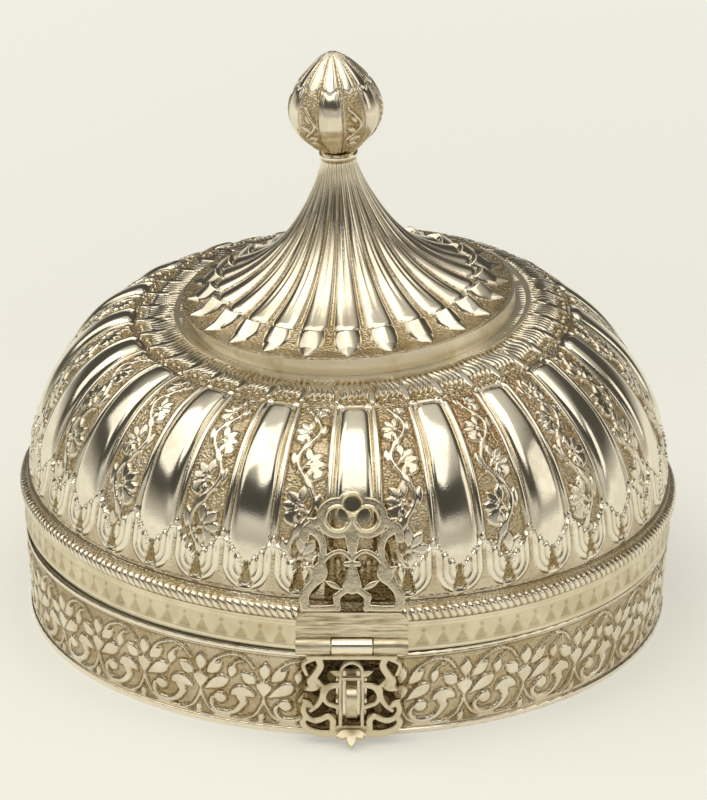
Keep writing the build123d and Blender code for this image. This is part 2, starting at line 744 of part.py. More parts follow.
hasp_plane = Plane(origin=(0, hasp_axis_y + hasp_sheet / 2, 0), x_dir=(1, 0, 0), z_dir=(0, -1, 0))
plate_top = hasp_axis_z - hasp_barrel_radius - knuckle_gap
with BuildPart() as hasp_plate:
    with BuildSketch(hasp_plane):
        with BuildLine():
            head = Line((0, plate_top), (14.4, plate_top))
            neck = Spline(head @ 1, (12.0, 28.6), (14.6, 24.2), (13.6, 20.6))
            bay = Spline(neck @ 1, (10.6, 18.4), (11.2, 14.6), (14.4, 14.4))
            flank = Spline(bay @ 1, (16.4, 11.4), (16.9, 7.6), (15.4, 3.6))
            Spline(flank @ 1, (11.2, 2.0), (6.2, 2.8), (0, hasp_bottom), tangents=((-0.9, -0.5), (-1, 0)))
            mirror(about=Plane.YZ)
        make_face()
        with Locations((0, (hasp_slot_top + hasp_slot_bottom) / 2)):
            RectangleRounded(
                hasp_slot_width,
                hasp_slot_top - hasp_slot_bottom,
                hasp_slot_corner,
                mode=Mode.SUBTRACT,
            )
        with Locations((0, 27.2)):
            SlotCenterToCenter(1.2, 4.6, rotation=90, mode=Mode.SUBTRACT)
        with Locations((-6.4, 16.8), (6.4, 16.8)):
            Circle(2.2, mode=Mode.SUBTRACT)
        with Locations((-9.0, 4.7), (9.0, 4.7)):
            Ellipse(2.6, 1.3, mode=Mode.SUBTRACT)
        for points in both_sides(hasp_upper) + both_sides(hasp_lower):
            with BuildLine():
                Spline(*points, periodic=True)
            make_face(mode=Mode.SUBTRACT)
    extrude(amount=hasp_sheet)
    with BuildSketch(Plane.YZ.offset(-centre_knuckle_half)):
        with Locations((hasp_axis_y, hasp_axis_z)):
            Circle(hasp_barrel_radius)
        with Locations((hasp_axis_y, (hasp_axis_z + plate_top - knuckle_gap) / 2)):
            Rectangle(hasp_sheet, hasp_axis_z - plate_top + knuckle_gap)
        with Locations((hasp_axis_y, hasp_axis_z)):
            Circle(hasp_pin_radius + pin_clearance, mode=Mode.SUBTRACT)
    extrude(amount=2 * centre_knuckle_half)
hasp_plate.part.label = "hasp_plate"

tip_plane = Plane(
    origin=(0, hasp_axis_y - hasp_sheet / 2 - tip_proud, tip_height),
    x_dir=(1, 0, 0),
    z_dir=(0, -cos(radians(tip_tilt)), sin(radians(tip_tilt))),
)
with BuildPart() as hasp_tip:
    with BuildSketch(tip_plane):
        with BuildLine():
            petal = Spline((0, -5.6), (1.4, -3.6), (1.5, -2.2))
            wing = Spline(petal @ 1, (3.4, -2.6), (5.2, -1.6))
            Spline(wing @ 1, (3.2, 0.3), (0, 0.6), tangents=((-1, 1), (-1, 0)))
            mirror(about=Plane.YZ)
        make_face()
    extrude(amount=tip_sheet)
    with BuildSketch(hasp_plane.offset(hasp_sheet)):
        with Locations((0, tip_height)):
            Rectangle(2 * strap_half_width, 2 * strap_half_width)
    extrude(amount=-strap_half_width, mode=Mode.SUBTRACT)
hasp_tip.part.label = "hasp_tip"

# Tray and cups

tray_top = ledge_top + tray_sheet
tray_radius = bezel_inner - tray_clearance
cup_ring = tray_radius * cup_ring_share
cup_rim_radius = tray_radius * cup_rim_share
cup_radius = cup_rim_radius - cup_rim_width
cup_angles = [360 / outer_cups * index for index in range(outer_cups)]
cup_places = {"spice_cup_centre": (0, 0)}
for index, angle in enumerate(cup_angles, start=1):
    cup_places[f"spice_cup_{index}"] = (cup_ring * cos(radians(angle)), cup_ring * sin(radians(angle)))

with BuildPart() as cup_tray:
    with BuildSketch(Plane.XY.offset(ledge_top)):
        Circle(tray_radius)
        with Locations(*cup_places.values()):
            Circle(cup_radius + cup_hole_clearance, mode=Mode.SUBTRACT)
        with PolarLocations(tray_radius - finger_slot_edge, 2, start_angle=30):
            SlotOverall(finger_slot_length, finger_slot_width, rotation=90, mode=Mode.SUBTRACT)
    extrude(amount=tray_sheet)
    with BuildSketch(Plane.XZ):
        ring_section(tray_radius - tray_sheet, tray_radius, ledge_top, tray_top + tray_edge_height)
    revolve(axis=Axis.Z)
cup_tray.part.label = "cup_tray"

cup_bottom = floor_top + cup_floor_clearance
cup_rim_top = tray_top + cup_sheet
cups = []
for cup_name, (cup_x, cup_y) in cup_places.items():
    with BuildPart() as spice_cup:
        with BuildSketch(Plane(origin=(cup_x, cup_y, 0), x_dir=(1, 0, 0), z_dir=(0, -1, 0))):
            with BuildLine():
                Line((0, cup_bottom), (cup_radius - cup_corner, cup_bottom))
                RadiusArc((cup_radius - cup_corner, cup_bottom), (cup_radius, cup_bottom + cup_corner), -cup_corner)
                Polyline(
                    (cup_radius, cup_bottom + cup_corner),
                    (cup_radius, tray_top),
                    (cup_rim_radius, tray_top),
                    (cup_rim_radius, cup_rim_top),
                    (cup_radius - cup_sheet, cup_rim_top),
                    (cup_radius - cup_sheet, cup_bottom + cup_corner),
                )
                RadiusArc(
                    (cup_radius - cup_sheet, cup_bottom + cup_corner),
                    (cup_radius - cup_corner, cup_bottom + cup_sheet),
                    cup_corner - cup_sheet,
                )
                Polyline(
                    (cup_radius - cup_corner, cup_bottom + cup_sheet),
                    (0, cup_bottom + cup_sheet),
                    (0, cup_bottom),
                )
            make_face()
        revolve(axis=Axis((cup_x, cup_y, 0), (0, 0, 1)))
    spice_cup.part.label = cup_name
    cups.append(spice_cup)

pieces = [
    base_foot_wire,
    base_wall,
    base_rim_wire,
    base_plate,
    tray_ledge,
    base_bezel,
    hasp_staple,
    staple_plate,
    rear_hinge_base_leaf,
    rear_hinge_base_rivets,
    rear_hinge_pin,
    rear_hinge_lid_leaf,
    rear_hinge_lid_rivets,
    lid_band,
    rope_moulding,
    dome_shell,
    crown_ring,
    spire_collar,
    spire_skirt,
    finial_collar,
    finial_bud,
    spire_rod,
    rod_washer,
    rod_nut,
    hasp_strap,
    hasp_crest,
    hasp_pin,
    hasp_plate,
    hasp_tip,
    cup_tray,
    *cups,
]
for piece in pieces:
    export_step(piece.part, f"parts/{piece.part.label}.step")

print("lid hinge axis", (0, rear_axis_y, rear_axis_z))
print("hasp hinge axis", (0, hasp_axis_y, hasp_axis_z))
print("crown origin", tuple(round(value, 2) for value in crown_frame.origin))
print("spire tip", tuple(round(value, 2) for value in spire_frame.offset(bud_top).origin))
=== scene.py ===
# %% [markdown]
# # A spice box in chased silver
#
# The real box was raised from silver sheet, chased from the front with punches, and soldered
# together from a low base, a domed lid and a spire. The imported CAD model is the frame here: it
# says where every piece sits and how it moves. Plain pieces keep their CAD meshes and get a
# material. Each chased piece is built again as a fine grid of points, worked out with numpy,
# because its ornament is real depth in the metal: a painted pattern would lie flat and would
# not catch the light.

import bmesh
import bpy
import numpy as np
from mathutils import Matrix


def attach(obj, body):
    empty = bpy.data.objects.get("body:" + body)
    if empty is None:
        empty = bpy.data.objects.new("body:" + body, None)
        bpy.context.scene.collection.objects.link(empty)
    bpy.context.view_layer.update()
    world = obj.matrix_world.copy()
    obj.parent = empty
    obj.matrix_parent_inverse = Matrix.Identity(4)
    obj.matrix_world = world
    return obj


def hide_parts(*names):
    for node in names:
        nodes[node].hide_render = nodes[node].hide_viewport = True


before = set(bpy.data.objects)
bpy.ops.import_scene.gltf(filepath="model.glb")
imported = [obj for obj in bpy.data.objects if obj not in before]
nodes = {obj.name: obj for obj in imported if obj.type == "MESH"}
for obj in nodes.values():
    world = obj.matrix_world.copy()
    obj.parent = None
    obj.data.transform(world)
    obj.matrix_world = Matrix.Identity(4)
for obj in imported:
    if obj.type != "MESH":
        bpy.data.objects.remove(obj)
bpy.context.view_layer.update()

# %% [markdown]
# ## Frames that lean
#
# The lid is worn and sits a little high at the left and at the back, and the spire leans to the
# left. The CAD model builds this from planes that tip, so the same planes are worked out here,
# as an origin and three axes. Sizes are in millimetres until a mesh is written.

# %% Sizes shared with the CAD model
millimetre = 0.001
foot_radius, rim_radius, wall_bottom, wall_top, wall_sheet = 113.6, 115.0, 2.2, 28.8, 1.2
lid_bottom, lid_high_left, lid_high_back = 32.3, 1.7, 1.1
band_height, band_proud, band_sheet = 10.8, 0.5, 1.0
moulding_height, moulding_proud, moulding_inner = 6.1, 2.3, 111.77
dome_radius, dome_rise, dome_sheet, dome_fullness, crown_radius = 113.3, 60.2, 1.2, 2.1, 62.5
plain_bulge, panel_pairs = 2.2, 20
collar_height, crown_lean_left, crown_lean_forward = 5.6, 3.9, 4.2
spire_shift_left, spire_lean_left, spire_lean_forward = 1.6, 0.6, -1.0
skirt_edge_radius, skirt_edge_sheet, skirt_radius = 58.0, 0.8, 54.5
neck_radius, neck_height, skirt_flare, flute_count = 6.0, 56.0, 0.39, 24
bud_bottom, bud_radius, bud_height, bud_panels, rod_radius = 58.6, 16.1, 36.0, 12, 1.6
strap_back, strap_sheet, strap_top, crest_tilt, crest_sheet = 117.6, 1.8, 47.2, 18.0, 1.4
hasp_axis_y, hasp_axis_z, hasp_barrel_radius, hasp_sheet = -119.6, 35.4, 2.8, 1.6
print("base", 2 * rim_radius, "mm across its rim")


# %% The leaning frames
def lean(base, height, left, forward):
    """A frame up another frame's axis, tipped to the left and to the front by degrees.

    Its normal is the old axis less x tan(left) less y tan(forward), made one long. Its x axis is
    the old one less its share along that normal. Arrays give one frame for each entry.
    """
    origin, x_axis, y_axis, z_axis = base
    height, left, forward = [np.asarray(value, float)[..., None] for value in (height, left, forward)]
    normal = z_axis - x_axis * np.tan(np.radians(left)) - y_axis * np.tan(np.radians(forward))
    normal = normal / np.linalg.norm(normal, axis=-1, keepdims=True)
    along = x_axis - normal * (x_axis * normal).sum(-1, keepdims=True)
    along = along / np.linalg.norm(along, axis=-1, keepdims=True)
    return origin + z_axis * height, along, np.cross(normal, along), normal


def around(base, radius, height, angle):
    """Points round a frame's axis: origin + radius (x cos(angle) + y sin(angle)) + height z.

    Rows go up the piece and columns go round it, with the angle in degrees.
    """
    origin, x_axis, y_axis, z_axis = [np.asarray(part)[..., None, :] for part in base]
    turn = np.radians(angle)[None, :, None]
    radius, height = np.asarray(radius, float)[..., None], np.asarray(height, float)[..., None]
    return origin + radius * (x_axis * np.cos(turn) + y_axis * np.sin(turn)) + height * z_axis


def tip_of(rise):
    """Degrees that a rise in millimetres at the rim tips the lid by."""
    return np.degrees(np.arctan(rise / rim_radius))


table_frame = (np.zeros(3), *np.eye(3))
lid_frame = lean(table_frame, lid_bottom, -tip_of(lid_high_left), tip_of(lid_high_back))
crown_frame = lean(lid_frame, band_height + moulding_height + dome_rise, crown_lean_left, crown_lean_forward)
spire_frame = lean(crown_frame, 0, spire_lean_left, spire_lean_forward)
spire_frame = (crown_frame[0] - spire_shift_left * crown_frame[1], *spire_frame[1:])
print("crown at", crown_frame[0].round(2), "spire points", spire_frame[3].round(3))

# %% [markdown]
# ## Drawing ornament as depth
#
# A chaser outlines each stem and leaf and then sinks the ground round it. The same drawing can
# be done with distances: each form says how many millimetres inside its edge a point is, the
# largest of them wins where forms meet, and one function turns that distance into height.

# %% Stems, leaves and beads as distances
def ramp(value, low, high):
    """0 where a value is at low, 1 where it is at high, straight between and level beyond."""
    return np.clip((value - low) / (high - low), 0, 1)


def hump(distance, width):
    """1 on a line, falling off beside it as exp(-(distance / width)^2)."""
    return np.exp(-((distance / width) ** 2))


def rounded(inside, rim):
    """Height from 0 to 1: a quarter circle over the rim's width, then flat."""
    return np.sqrt(1 - (1 - ramp(inside, 0, rim)) ** 2)


def curve(points, steps=6):
    """Smooth line through points: cubics whose slope at a point is that of its two neighbours."""
    points = np.asarray(points, float)
    points = np.vstack([2 * points[0] - points[1], points, 2 * points[-1] - points[-2]])
    t = np.linspace(0, 1, steps, endpoint=False)[:, None]
    spans = zip(points, points[1:], points[2:], points[3:])
    parts = [
        b + ((c - a) * t + (2 * a - 5 * b + 4 * c - d) * t**2 + (3 * b - a - 3 * c + d) * t**3) / 2
        for a, b, c, d in spans
    ]
    return np.vstack([*parts, points[-2:-1]])


def stem(x, y, points, width, end_width=None):
    """Distance inside a stem: half its width, less the distance to its smooth middle line."""
    path = curve(points)
    nearest = np.full(np.broadcast(x, y).shape, np.inf)
    share = np.zeros_like(nearest)
    for index, (start, end) in enumerate(zip(path, path[1:])):
        run = end - start
        along = np.clip(((x - start[0]) * run[0] + (y - start[1]) * run[1]) / (run @ run), 0, 1)
        away = np.hypot(x - start[0] - along * run[0], y - start[1] - along * run[1])
        share = np.where(away < nearest, (index + along) / (len(path) - 1), share)
        nearest = np.minimum(nearest, away)
    return (width + ((end_width or width) - width) * share) / 2 - nearest


def leaf(x, y, foot, tip, width, belly=1.0, blunt=1.0):
    """Distance inside a leaf: half its width there, less the distance to its middle line.

    Half the width is sin(pi share^belly)^blunt. A belly over 1 widens it toward the tip, and
    a blunt under 1 rounds its ends.
    """
    run = np.subtract(tip, foot).astype(float)
    length = np.hypot(*run)
    along = ((x - foot[0]) * run[0] + (y - foot[1]) * run[1]) / length**2
    across = np.abs((y - foot[1]) * run[0] - (x - foot[0]) * run[1]) / length
    share = np.clip(along, 0, 1)
    half = width / 2 * np.clip(np.sin(np.pi * share**belly), 0, 1) ** blunt
    return half - across - np.abs(along - share) * length


def bead(x, y, centre, radius, stretch=1.0):
    """Distance inside a bead that is stretch times as wide as it is high."""
    return radius - np.hypot((x - centre[0]) / stretch, y - centre[1])


def drawn(x, y, stems=(), leaves=(), beads=()):
    """Distance inside the one of many forms that a point is deepest in."""
    return np.maximum.reduce([
        *[stem(x, y, *form) for form in stems],
        *[leaf(x, y, *form) for form in leaves],
        *[bead(x, y, *form) for form in beads],
    ])


def repeated(motif, x, y, width=0.0, height=0.0):
    """The largest of a motif and its two neighbours, so that forms run over the cell's ends."""
    return np.maximum.reduce([motif(x + step * width, y + step * height) for step in (-1, 0, 1)])


def chased(inside, height, rim, line):
    """Height and wear of forms from the distance inside them.

    A form rises over its rim as a quarter circle. Just outside it the ground is sunk by
    line exp(-((inside + 0.22) / 0.2)^2), where the tracing punch went round it first. Wear is
    0.3 on the ground, 0.8 on a form and least in the traced line.
    """
    rise = rounded(inside, rim)
    traced = hump(inside + 0.22, 0.2)
    return height * rise - line * traced, 0.3 + 0.5 * rise - 0.4 * traced


def hand(angle, level, size, seed):
    """Uneven hand work: a sum of six waves that wind round the piece, each up to size / 6."""
    random = np.random.default_rng(seed)
    total = np.zeros(np.broadcast(angle, level).shape)
    for waves in (3, 5, 8, 13, 21, 34):
        phase = random.uniform(0, 2 * np.pi)
        climb = random.uniform(0.02, 0.12)
        tilt = random.uniform(-1, 1)
        winding = np.sin(np.radians(angle) * waves + phase + tilt * climb * level * 3)
        total = total + winding * np.cos(climb * level + phase)
    return size * total / 6


print("drawing tools ready")

# %% [markdown]
# ## From a grid to a mesh
#
# Every chased piece is a ring of sheet: its rows run up the outside and back down the inside,
# and its columns run round. Joined both ways, the grid is one closed skin with no loose edge.
# One layer of numbers holds how worn each point is, from 0 in a recess, where tarnish stays, to
# 1 on a rubbed height, and below 0 where a plate lies over it, for soot and painted shade. A second layer
# holds how stained it is.

# %% Helpers for grids
def turns_of(columns, start=-90.0):
    """Angle of each column in degrees, from a start, all the way round."""
    return start + 360 * np.arange(columns) / columns


def outward(points):
    """Unit normals of a grid of points: the cross product of its steps round and its steps up."""
    step_round = np.roll(points, -1, axis=1) - np.roll(points, 1, axis=1)
    step_up = np.gradient(points, axis=0)
    normal = np.cross(step_round, step_up)
    return normal / np.maximum(np.linalg.norm(normal, axis=-1, keepdims=True), 1e-9)


def steps_along(height, radius):
    """Way along a profile from its first row: the running sum of its steps, as a column."""
    steps = np.hypot(np.diff(height), np.diff(radius))
    return np.concatenate([[0], np.cumsum(steps)])[:, None]


print("grid helpers ready")


# %% Helpers for objects
def add_object(name, data):
    """A new object in the scene, at the origin."""
    thing = bpy.data.objects.new(name, data)
    bpy.context.scene.collection.objects.link(thing)
    return thing


def add_piece(name, points, faces, worn, body, stands_for, material,
              stain=None, normals=None):
    """A mesh object at the origin from points in millimetres, riding on a body."""
    mesh = bpy.data.meshes.new(name)
    mesh.vertices.add(len(points))
    mesh.vertices.foreach_set("co", (points * millimetre).astype(np.float32).ravel())
    mesh.loops.add(faces.size)
    mesh.loops.foreach_set("vertex_index", faces.astype(np.int32).ravel())
    mesh.polygons.add(len(faces))
    mesh.polygons.foreach_set("loop_start", np.arange(0, faces.size, faces.shape[1], dtype=np.int32))
    mesh.polygons.foreach_set("use_smooth", np.ones(len(faces), bool))
    for layer, values in (("worn", worn), ("stain", np.zeros_like(worn) if stain is None else stain)):
        numbers = mesh.attributes.new(layer, "FLOAT", "POINT").data
        numbers.foreach_set("value", values.astype(np.float32).ravel())
    mesh.update(calc_edges=True)
    if normals is not None:
        mesh.normals_split_custom_set_from_vertices(normals.reshape(-1, 3).tolist())
    piece = add_object(name, mesh)
    mesh.materials.append(material)
    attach(piece, body)
    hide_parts(stands_for)
    print(name, 2 * len(faces), "triangles")
    return piece


def ring_faces(rows, columns):
    """Four-cornered faces of a grid joined both ways, with corners in order round each face."""
    row = np.arange(rows)[:, None]
    column = np.arange(columns)[None, :]
    next_row, next_column = (row + 1) % rows, (column + 1) % columns
    corners = (
        row * columns + column,
        row * columns + next_column,
        next_row * columns + next_column,
        next_row * columns + column,
    )
    return np.stack([np.broadcast_to(corner, (rows, columns)) for corner in corners], -1).reshape(-1, 4)


def add_ring(name, outside, worn, inside, body, stands_for, material,
             stain=None, normals=None):
    """A closed ring of sheet from its outer rows, bottom to top, and its inner rows, top to bottom."""
    points = np.vstack([outside, inside])
    normals = outward(outside) if normals is None else normals
    normals = np.vstack([normals, outward(inside)])
    inner = np.zeros(inside.shape[:2])
    worn = np.vstack([worn, inner + 0.6])
    stain = None if stain is None else np.vstack([stain, inner])
    faces = ring_faces(*points.shape[:2])
    return add_piece(name, points.reshape(-1, 3), faces, worn, body, stands_for, material,
                     stain, normals)


print("object helpers ready")


# %% Helpers for colours and nodes
def linear(code):
    """Linear colour of an sRGB hex code, by the curve of the sRGB standard."""
    value = np.array([int(code[i:i + 2], 16) for i in (0, 2, 4)]) / 255
    value = np.where(value <= 0.04045, value / 12.92, ((value + 0.055) / 1.055) ** 2.4)
    return (*value.tolist(), 1.0)


def add_node(tree, kind, settings=None, inputs=None):
    """A node with its settings; an input that is a socket is linked, and any other is a value."""
    node = tree.nodes.new(kind)
    for key, value in (settings or {}).items():
        setattr(node, key, value)
    for key, value in (inputs or {}).items():
        if isinstance(value, bpy.types.NodeSocket):
            tree.links.new(value, node.inputs[key])
        else:
            node.inputs[key].default_value = value
    return node


print("node helpers ready")

# %% [markdown]
# ## Silver
#
# Old silver is a warm white metal. Polishing keeps the heights bright, while brown sulphide
# stays in the recesses, and hand rubbing leaves very fine scratches. So colour and roughness
# follow the worn layer, broken up by noise, and the ground between chased forms is matted
# with a small round punch, its dents about 1 mm apart, which a cell texture draws.

# %% Chased silver
# A texture's scale is the number of its repeats in a metre, so 1000 is one in each millimetre.
cloud_scale = 90.0  # clouds of tarnish some 11 mm across
scratch_scale = 1800.0  # 0.6 mm apart: real scratches are finer, and would not show
punch_scale = 1050.0  # dents of the matting punch
# The second brown is soot with painted shade, used where a plate hangs over the silver.
sulphide_brown, shade_and_soot_brown = "9C6A2E", "4A3D2A"


def new_material(name):
    """An empty node material with its shader joined to the output."""
    material = bpy.data.materials.new(name)
    material.use_nodes = True
    tree = material.node_tree
    tree.nodes.clear()
    shader = add_node(tree, "ShaderNodeBsdfPrincipled", None, {"Metallic": 1.0})
    add_node(tree, "ShaderNodeOutputMaterial", None, {"Surface": shader.outputs[0]})
    return material, tree, shader


def dress(tree, shader, tone, gloss, relief):
    """Colour, roughness and relief joined to a shader."""
    for name, socket in (("Base Color", tone), ("Roughness", gloss), ("Normal", relief)):
        tree.links.new(socket, shader.inputs[name])


def silver(name, bright, dull, smooth, rough, grain, punched):
    """Silver that goes from bright and smooth on heights to dull and rough in recesses.

    The height read is the worn layer plus a noise of 0.22 at most. Brown comes in by the stain
    layer times that noise, and soot with painted shade where the worn layer is below 0.
    """
    material, tree, shader = new_material(name)
    colours = {"data_type": "RGBA"}
    place = add_node(tree, "ShaderNodeTexCoord").outputs["Object"]
    worn = add_node(tree, "ShaderNodeAttribute", {"attribute_name": "worn"}).outputs["Fac"]
    stain = add_node(tree, "ShaderNodeAttribute", {"attribute_name": "stain"}).outputs["Fac"]
    clouds = add_node(tree, "ShaderNodeTexNoise", None, {
        "Vector": place, "Scale": cloud_scale, "Detail": 6.0, "Roughness": 0.6}).outputs["Fac"]
    spread = add_node(tree, "ShaderNodeMapRange", None, {
        "Value": clouds, "From Min": 0.3, "From Max": 0.7, "To Min": -0.22, "To Max": 0.22}).outputs[0]
    height = add_node(tree, "ShaderNodeMath", {"operation": "ADD", "use_clamp": True}, {
        0: worn, 1: spread}).outputs[0]
    tone = add_node(tree, "ShaderNodeMix", colours, {
        "Factor": height, "A": linear(dull), "B": linear(bright)}).outputs["Result"]
    brown = add_node(tree, "ShaderNodeMath", {"operation": "MULTIPLY", "use_clamp": True}, {
        0: stain, 1: clouds}).outputs[0]
    tone = add_node(tree, "ShaderNodeMix", colours, {
        "Factor": brown, "A": tone, "B": linear(sulphide_brown)}).outputs["Result"]
    # Soot and painted shade: dark brown where the worn layer goes below 0.
    soot_and_painted_shade = add_node(tree, "ShaderNodeMapRange", None, {
        "Value": worn, "From Min": 0.0, "From Max": -0.8, "To Min": 0.0, "To Max": 0.85}).outputs[0]
    tone = add_node(tree, "ShaderNodeMix", colours, {
        "Factor": soot_and_painted_shade, "A": tone, "B": linear(shade_and_soot_brown)}).outputs["Result"]
    gloss = add_node(tree, "ShaderNodeMapRange", None, {
        "Value": height, "To Min": rough, "To Max": smooth}).outputs[0]
    scratches = add_node(tree, "ShaderNodeTexNoise", None, {
        "Vector": place, "Scale": scratch_scale, "Detail": 3.0}).outputs["Fac"]
    relief = add_node(tree, "ShaderNodeBump", None, {
        "Strength": grain, "Distance": 0.00006, "Height": scratches}).outputs[0]
    if punched:
        dents = add_node(tree, "ShaderNodeTexVoronoi", None, {
            "Vector": place, "Scale": punch_scale}).outputs["Distance"]
        ground = add_node(tree, "ShaderNodeMapRange", None, {
            "Value": worn, "From Min": 0.1, "From Max": 0.6, "To Min": punched, "To Max": 0.0}).outputs[0]
        relief = add_node(tree, "ShaderNodeBump", None, {
            "Strength": ground, "Distance": 0.0006, "Height": dents, "Normal": relief}).outputs[0]
    dress(tree, shader, tone, gloss, relief)
    return material


# Chased: near a mirror on the rubbed heights, brown and matt where the punch went.
chased_silver = silver("chased_silver", "F1E9D5", "AE976A", smooth=0.12, rough=0.42, grain=0.3, punched=1.0)
# Engraved: the flat shine of a band that hands hold, with dull cuts.
engraved_silver = silver("engraved_silver", "EADFC2", "A8966C", smooth=0.24, rough=0.5, grain=0.35, punched=0)
print("silver made")

# %% [markdown]
# ## Plain silver, the inside and the brass
#
# The wires and plates were filed, hammered or burnished, and each tool left its own grain, with
# tarnish in patches over it. The crown's ring and the spire's drum are satin, the inside was
# never polished as high, and the rod, nut and rear hinge pin are drawn brass. Flat colours would
# look like paint here, so one function gives each its grain, and the numbers tell them apart.

# %% Plain materials
tarnish_scale = 110.0  # patches some 9 mm across


def plain_metal(name, colour, tarnish, smooth, rough, stretch, depth, streaked=False):
    """Metal with a grain, which is a noise, and patches of tarnish.

    Stretch is the grain's repeats in a metre along X, Y and Z, and uneven ones draw it out to
    scratches. Depth is how deep it looks. Streaked metal holds its tarnish in the scratches.
    """
    material, tree, shader = new_material(name)
    place = add_node(tree, "ShaderNodeTexCoord").outputs["Object"]
    along = add_node(tree, "ShaderNodeMapping", None, {"Vector": place, "Scale": stretch}).outputs[0]
    marks = add_node(tree, "ShaderNodeTexNoise", None, {
        "Vector": along, "Scale": 1.0, "Detail": 6.0, "Roughness": 0.65}).outputs["Fac"]
    clouds = add_node(tree, "ShaderNodeTexNoise", None, {
        "Vector": place, "Scale": tarnish_scale, "Detail": 7.0, "Roughness": 0.62}).outputs["Fac"]
    dirt, from_low, from_high = (marks, 0.42, 0.66) if streaked else (clouds, 0.54, 0.78)
    patches = add_node(tree, "ShaderNodeMapRange", None, {
        "Value": dirt, "From Min": from_low, "From Max": from_high}).outputs[0]
    tone = add_node(tree, "ShaderNodeMix", {"data_type": "RGBA"}, {
        "Factor": patches, "A": linear(colour), "B": linear(tarnish)}).outputs["Result"]
    gloss = add_node(tree, "ShaderNodeMapRange", None, {
        "Value": clouds, "To Min": smooth, "To Max": rough}).outputs[0]
    relief = add_node(tree, "ShaderNodeBump", None, {
        "Strength": depth, "Distance": 0.0002, "Height": marks}).outputs[0]
    dress(tree, shader, tone, gloss, relief)
    return material


# Burnished with a steel: near a mirror.
plain_silver = plain_metal("burnished_silver", "F4EBD6", "D6C6A0", 0.1, 0.26, (900, 900, 900), 0.12)
# Rubbed with fine powder: a soft, even glow.
satin_silver = plain_metal("satin_silver", "F6EEDA", "DCCDA6", 0.3, 0.42, (600, 600, 600), 0.1)
# Filed from side to side: streaks along X that hold tarnish.
brushed_silver = plain_metal("filed_silver", "E4D9BE", "8F7C56", 0.24, 0.4, (90, 700, 1500), 0.5, True)
# Hammered sheet, polished: its shine breaks up every 4 mm.
plate_silver = plain_metal("hammered_silver", "ECE0C2", "B8A57C", 0.16, 0.3, (260, 260, 260), 1.0)
# Handled and never polished: duller, with brown patches.
worn_silver = plain_metal("worn_silver", "DCD0B2", "978565", 0.26, 0.4, (300, 300, 300), 0.8)
# Matt from the pickling bath: broad, pale highlights.
inner_silver = plain_metal("matt_inner_silver", "E4DDCB", "B7A684", 0.3, 0.5, (500, 500, 500), 0.2)
# Drawn through a plate: yellow, with a fine grain.
brass = plain_metal("drawn_brass", "D9BE7C", "8E7440", 0.28, 0.5, (1200, 1200, 1200), 0.2)

cups = " ".join(name for name in nodes if name.startswith("spice_cup"))
plain_nodes = {
    plain_silver: "base_foot_wire base_rim_wire staple_plate rear_hinge_base_leaf rear_hinge_base_rivets "
                  "hasp_staple rear_hinge_lid_leaf rear_hinge_lid_rivets finial_collar",
    satin_silver: "crown_ring spire_collar",
    plate_silver: "hasp_crest hasp_tip hasp_plate",
    brushed_silver: "hasp_strap hasp_pin",
    inner_silver: "base_plate tray_ledge base_bezel cup_tray " + cups,
    brass: "rear_hinge_pin spire_rod rod_washer rod_nut",
}
for material, names in plain_nodes.items():
    for name in names.split():
        nodes[name].data.materials.clear()
        nodes[name].data.materials.append(material)
print("plain nodes dressed")

# %% [markdown]
# ## Openwork plates
#
# The crest and the hasp were sawn from thick sheet into scrolls, with leaf ends and round eyes,
# and hands have rubbed their edges round. Here too each scroll is a stroke with a distance, and
# the plate is all that lies inside one. A square net of points covers it, and the net's edge
# points are moved onto the outline, so that the cut edge runs smooth.

# %% From a drawing to a pierced plate
net_step, cut_edge = 0.17, 0.42
swell, swell_rim = 0.14, 1.4


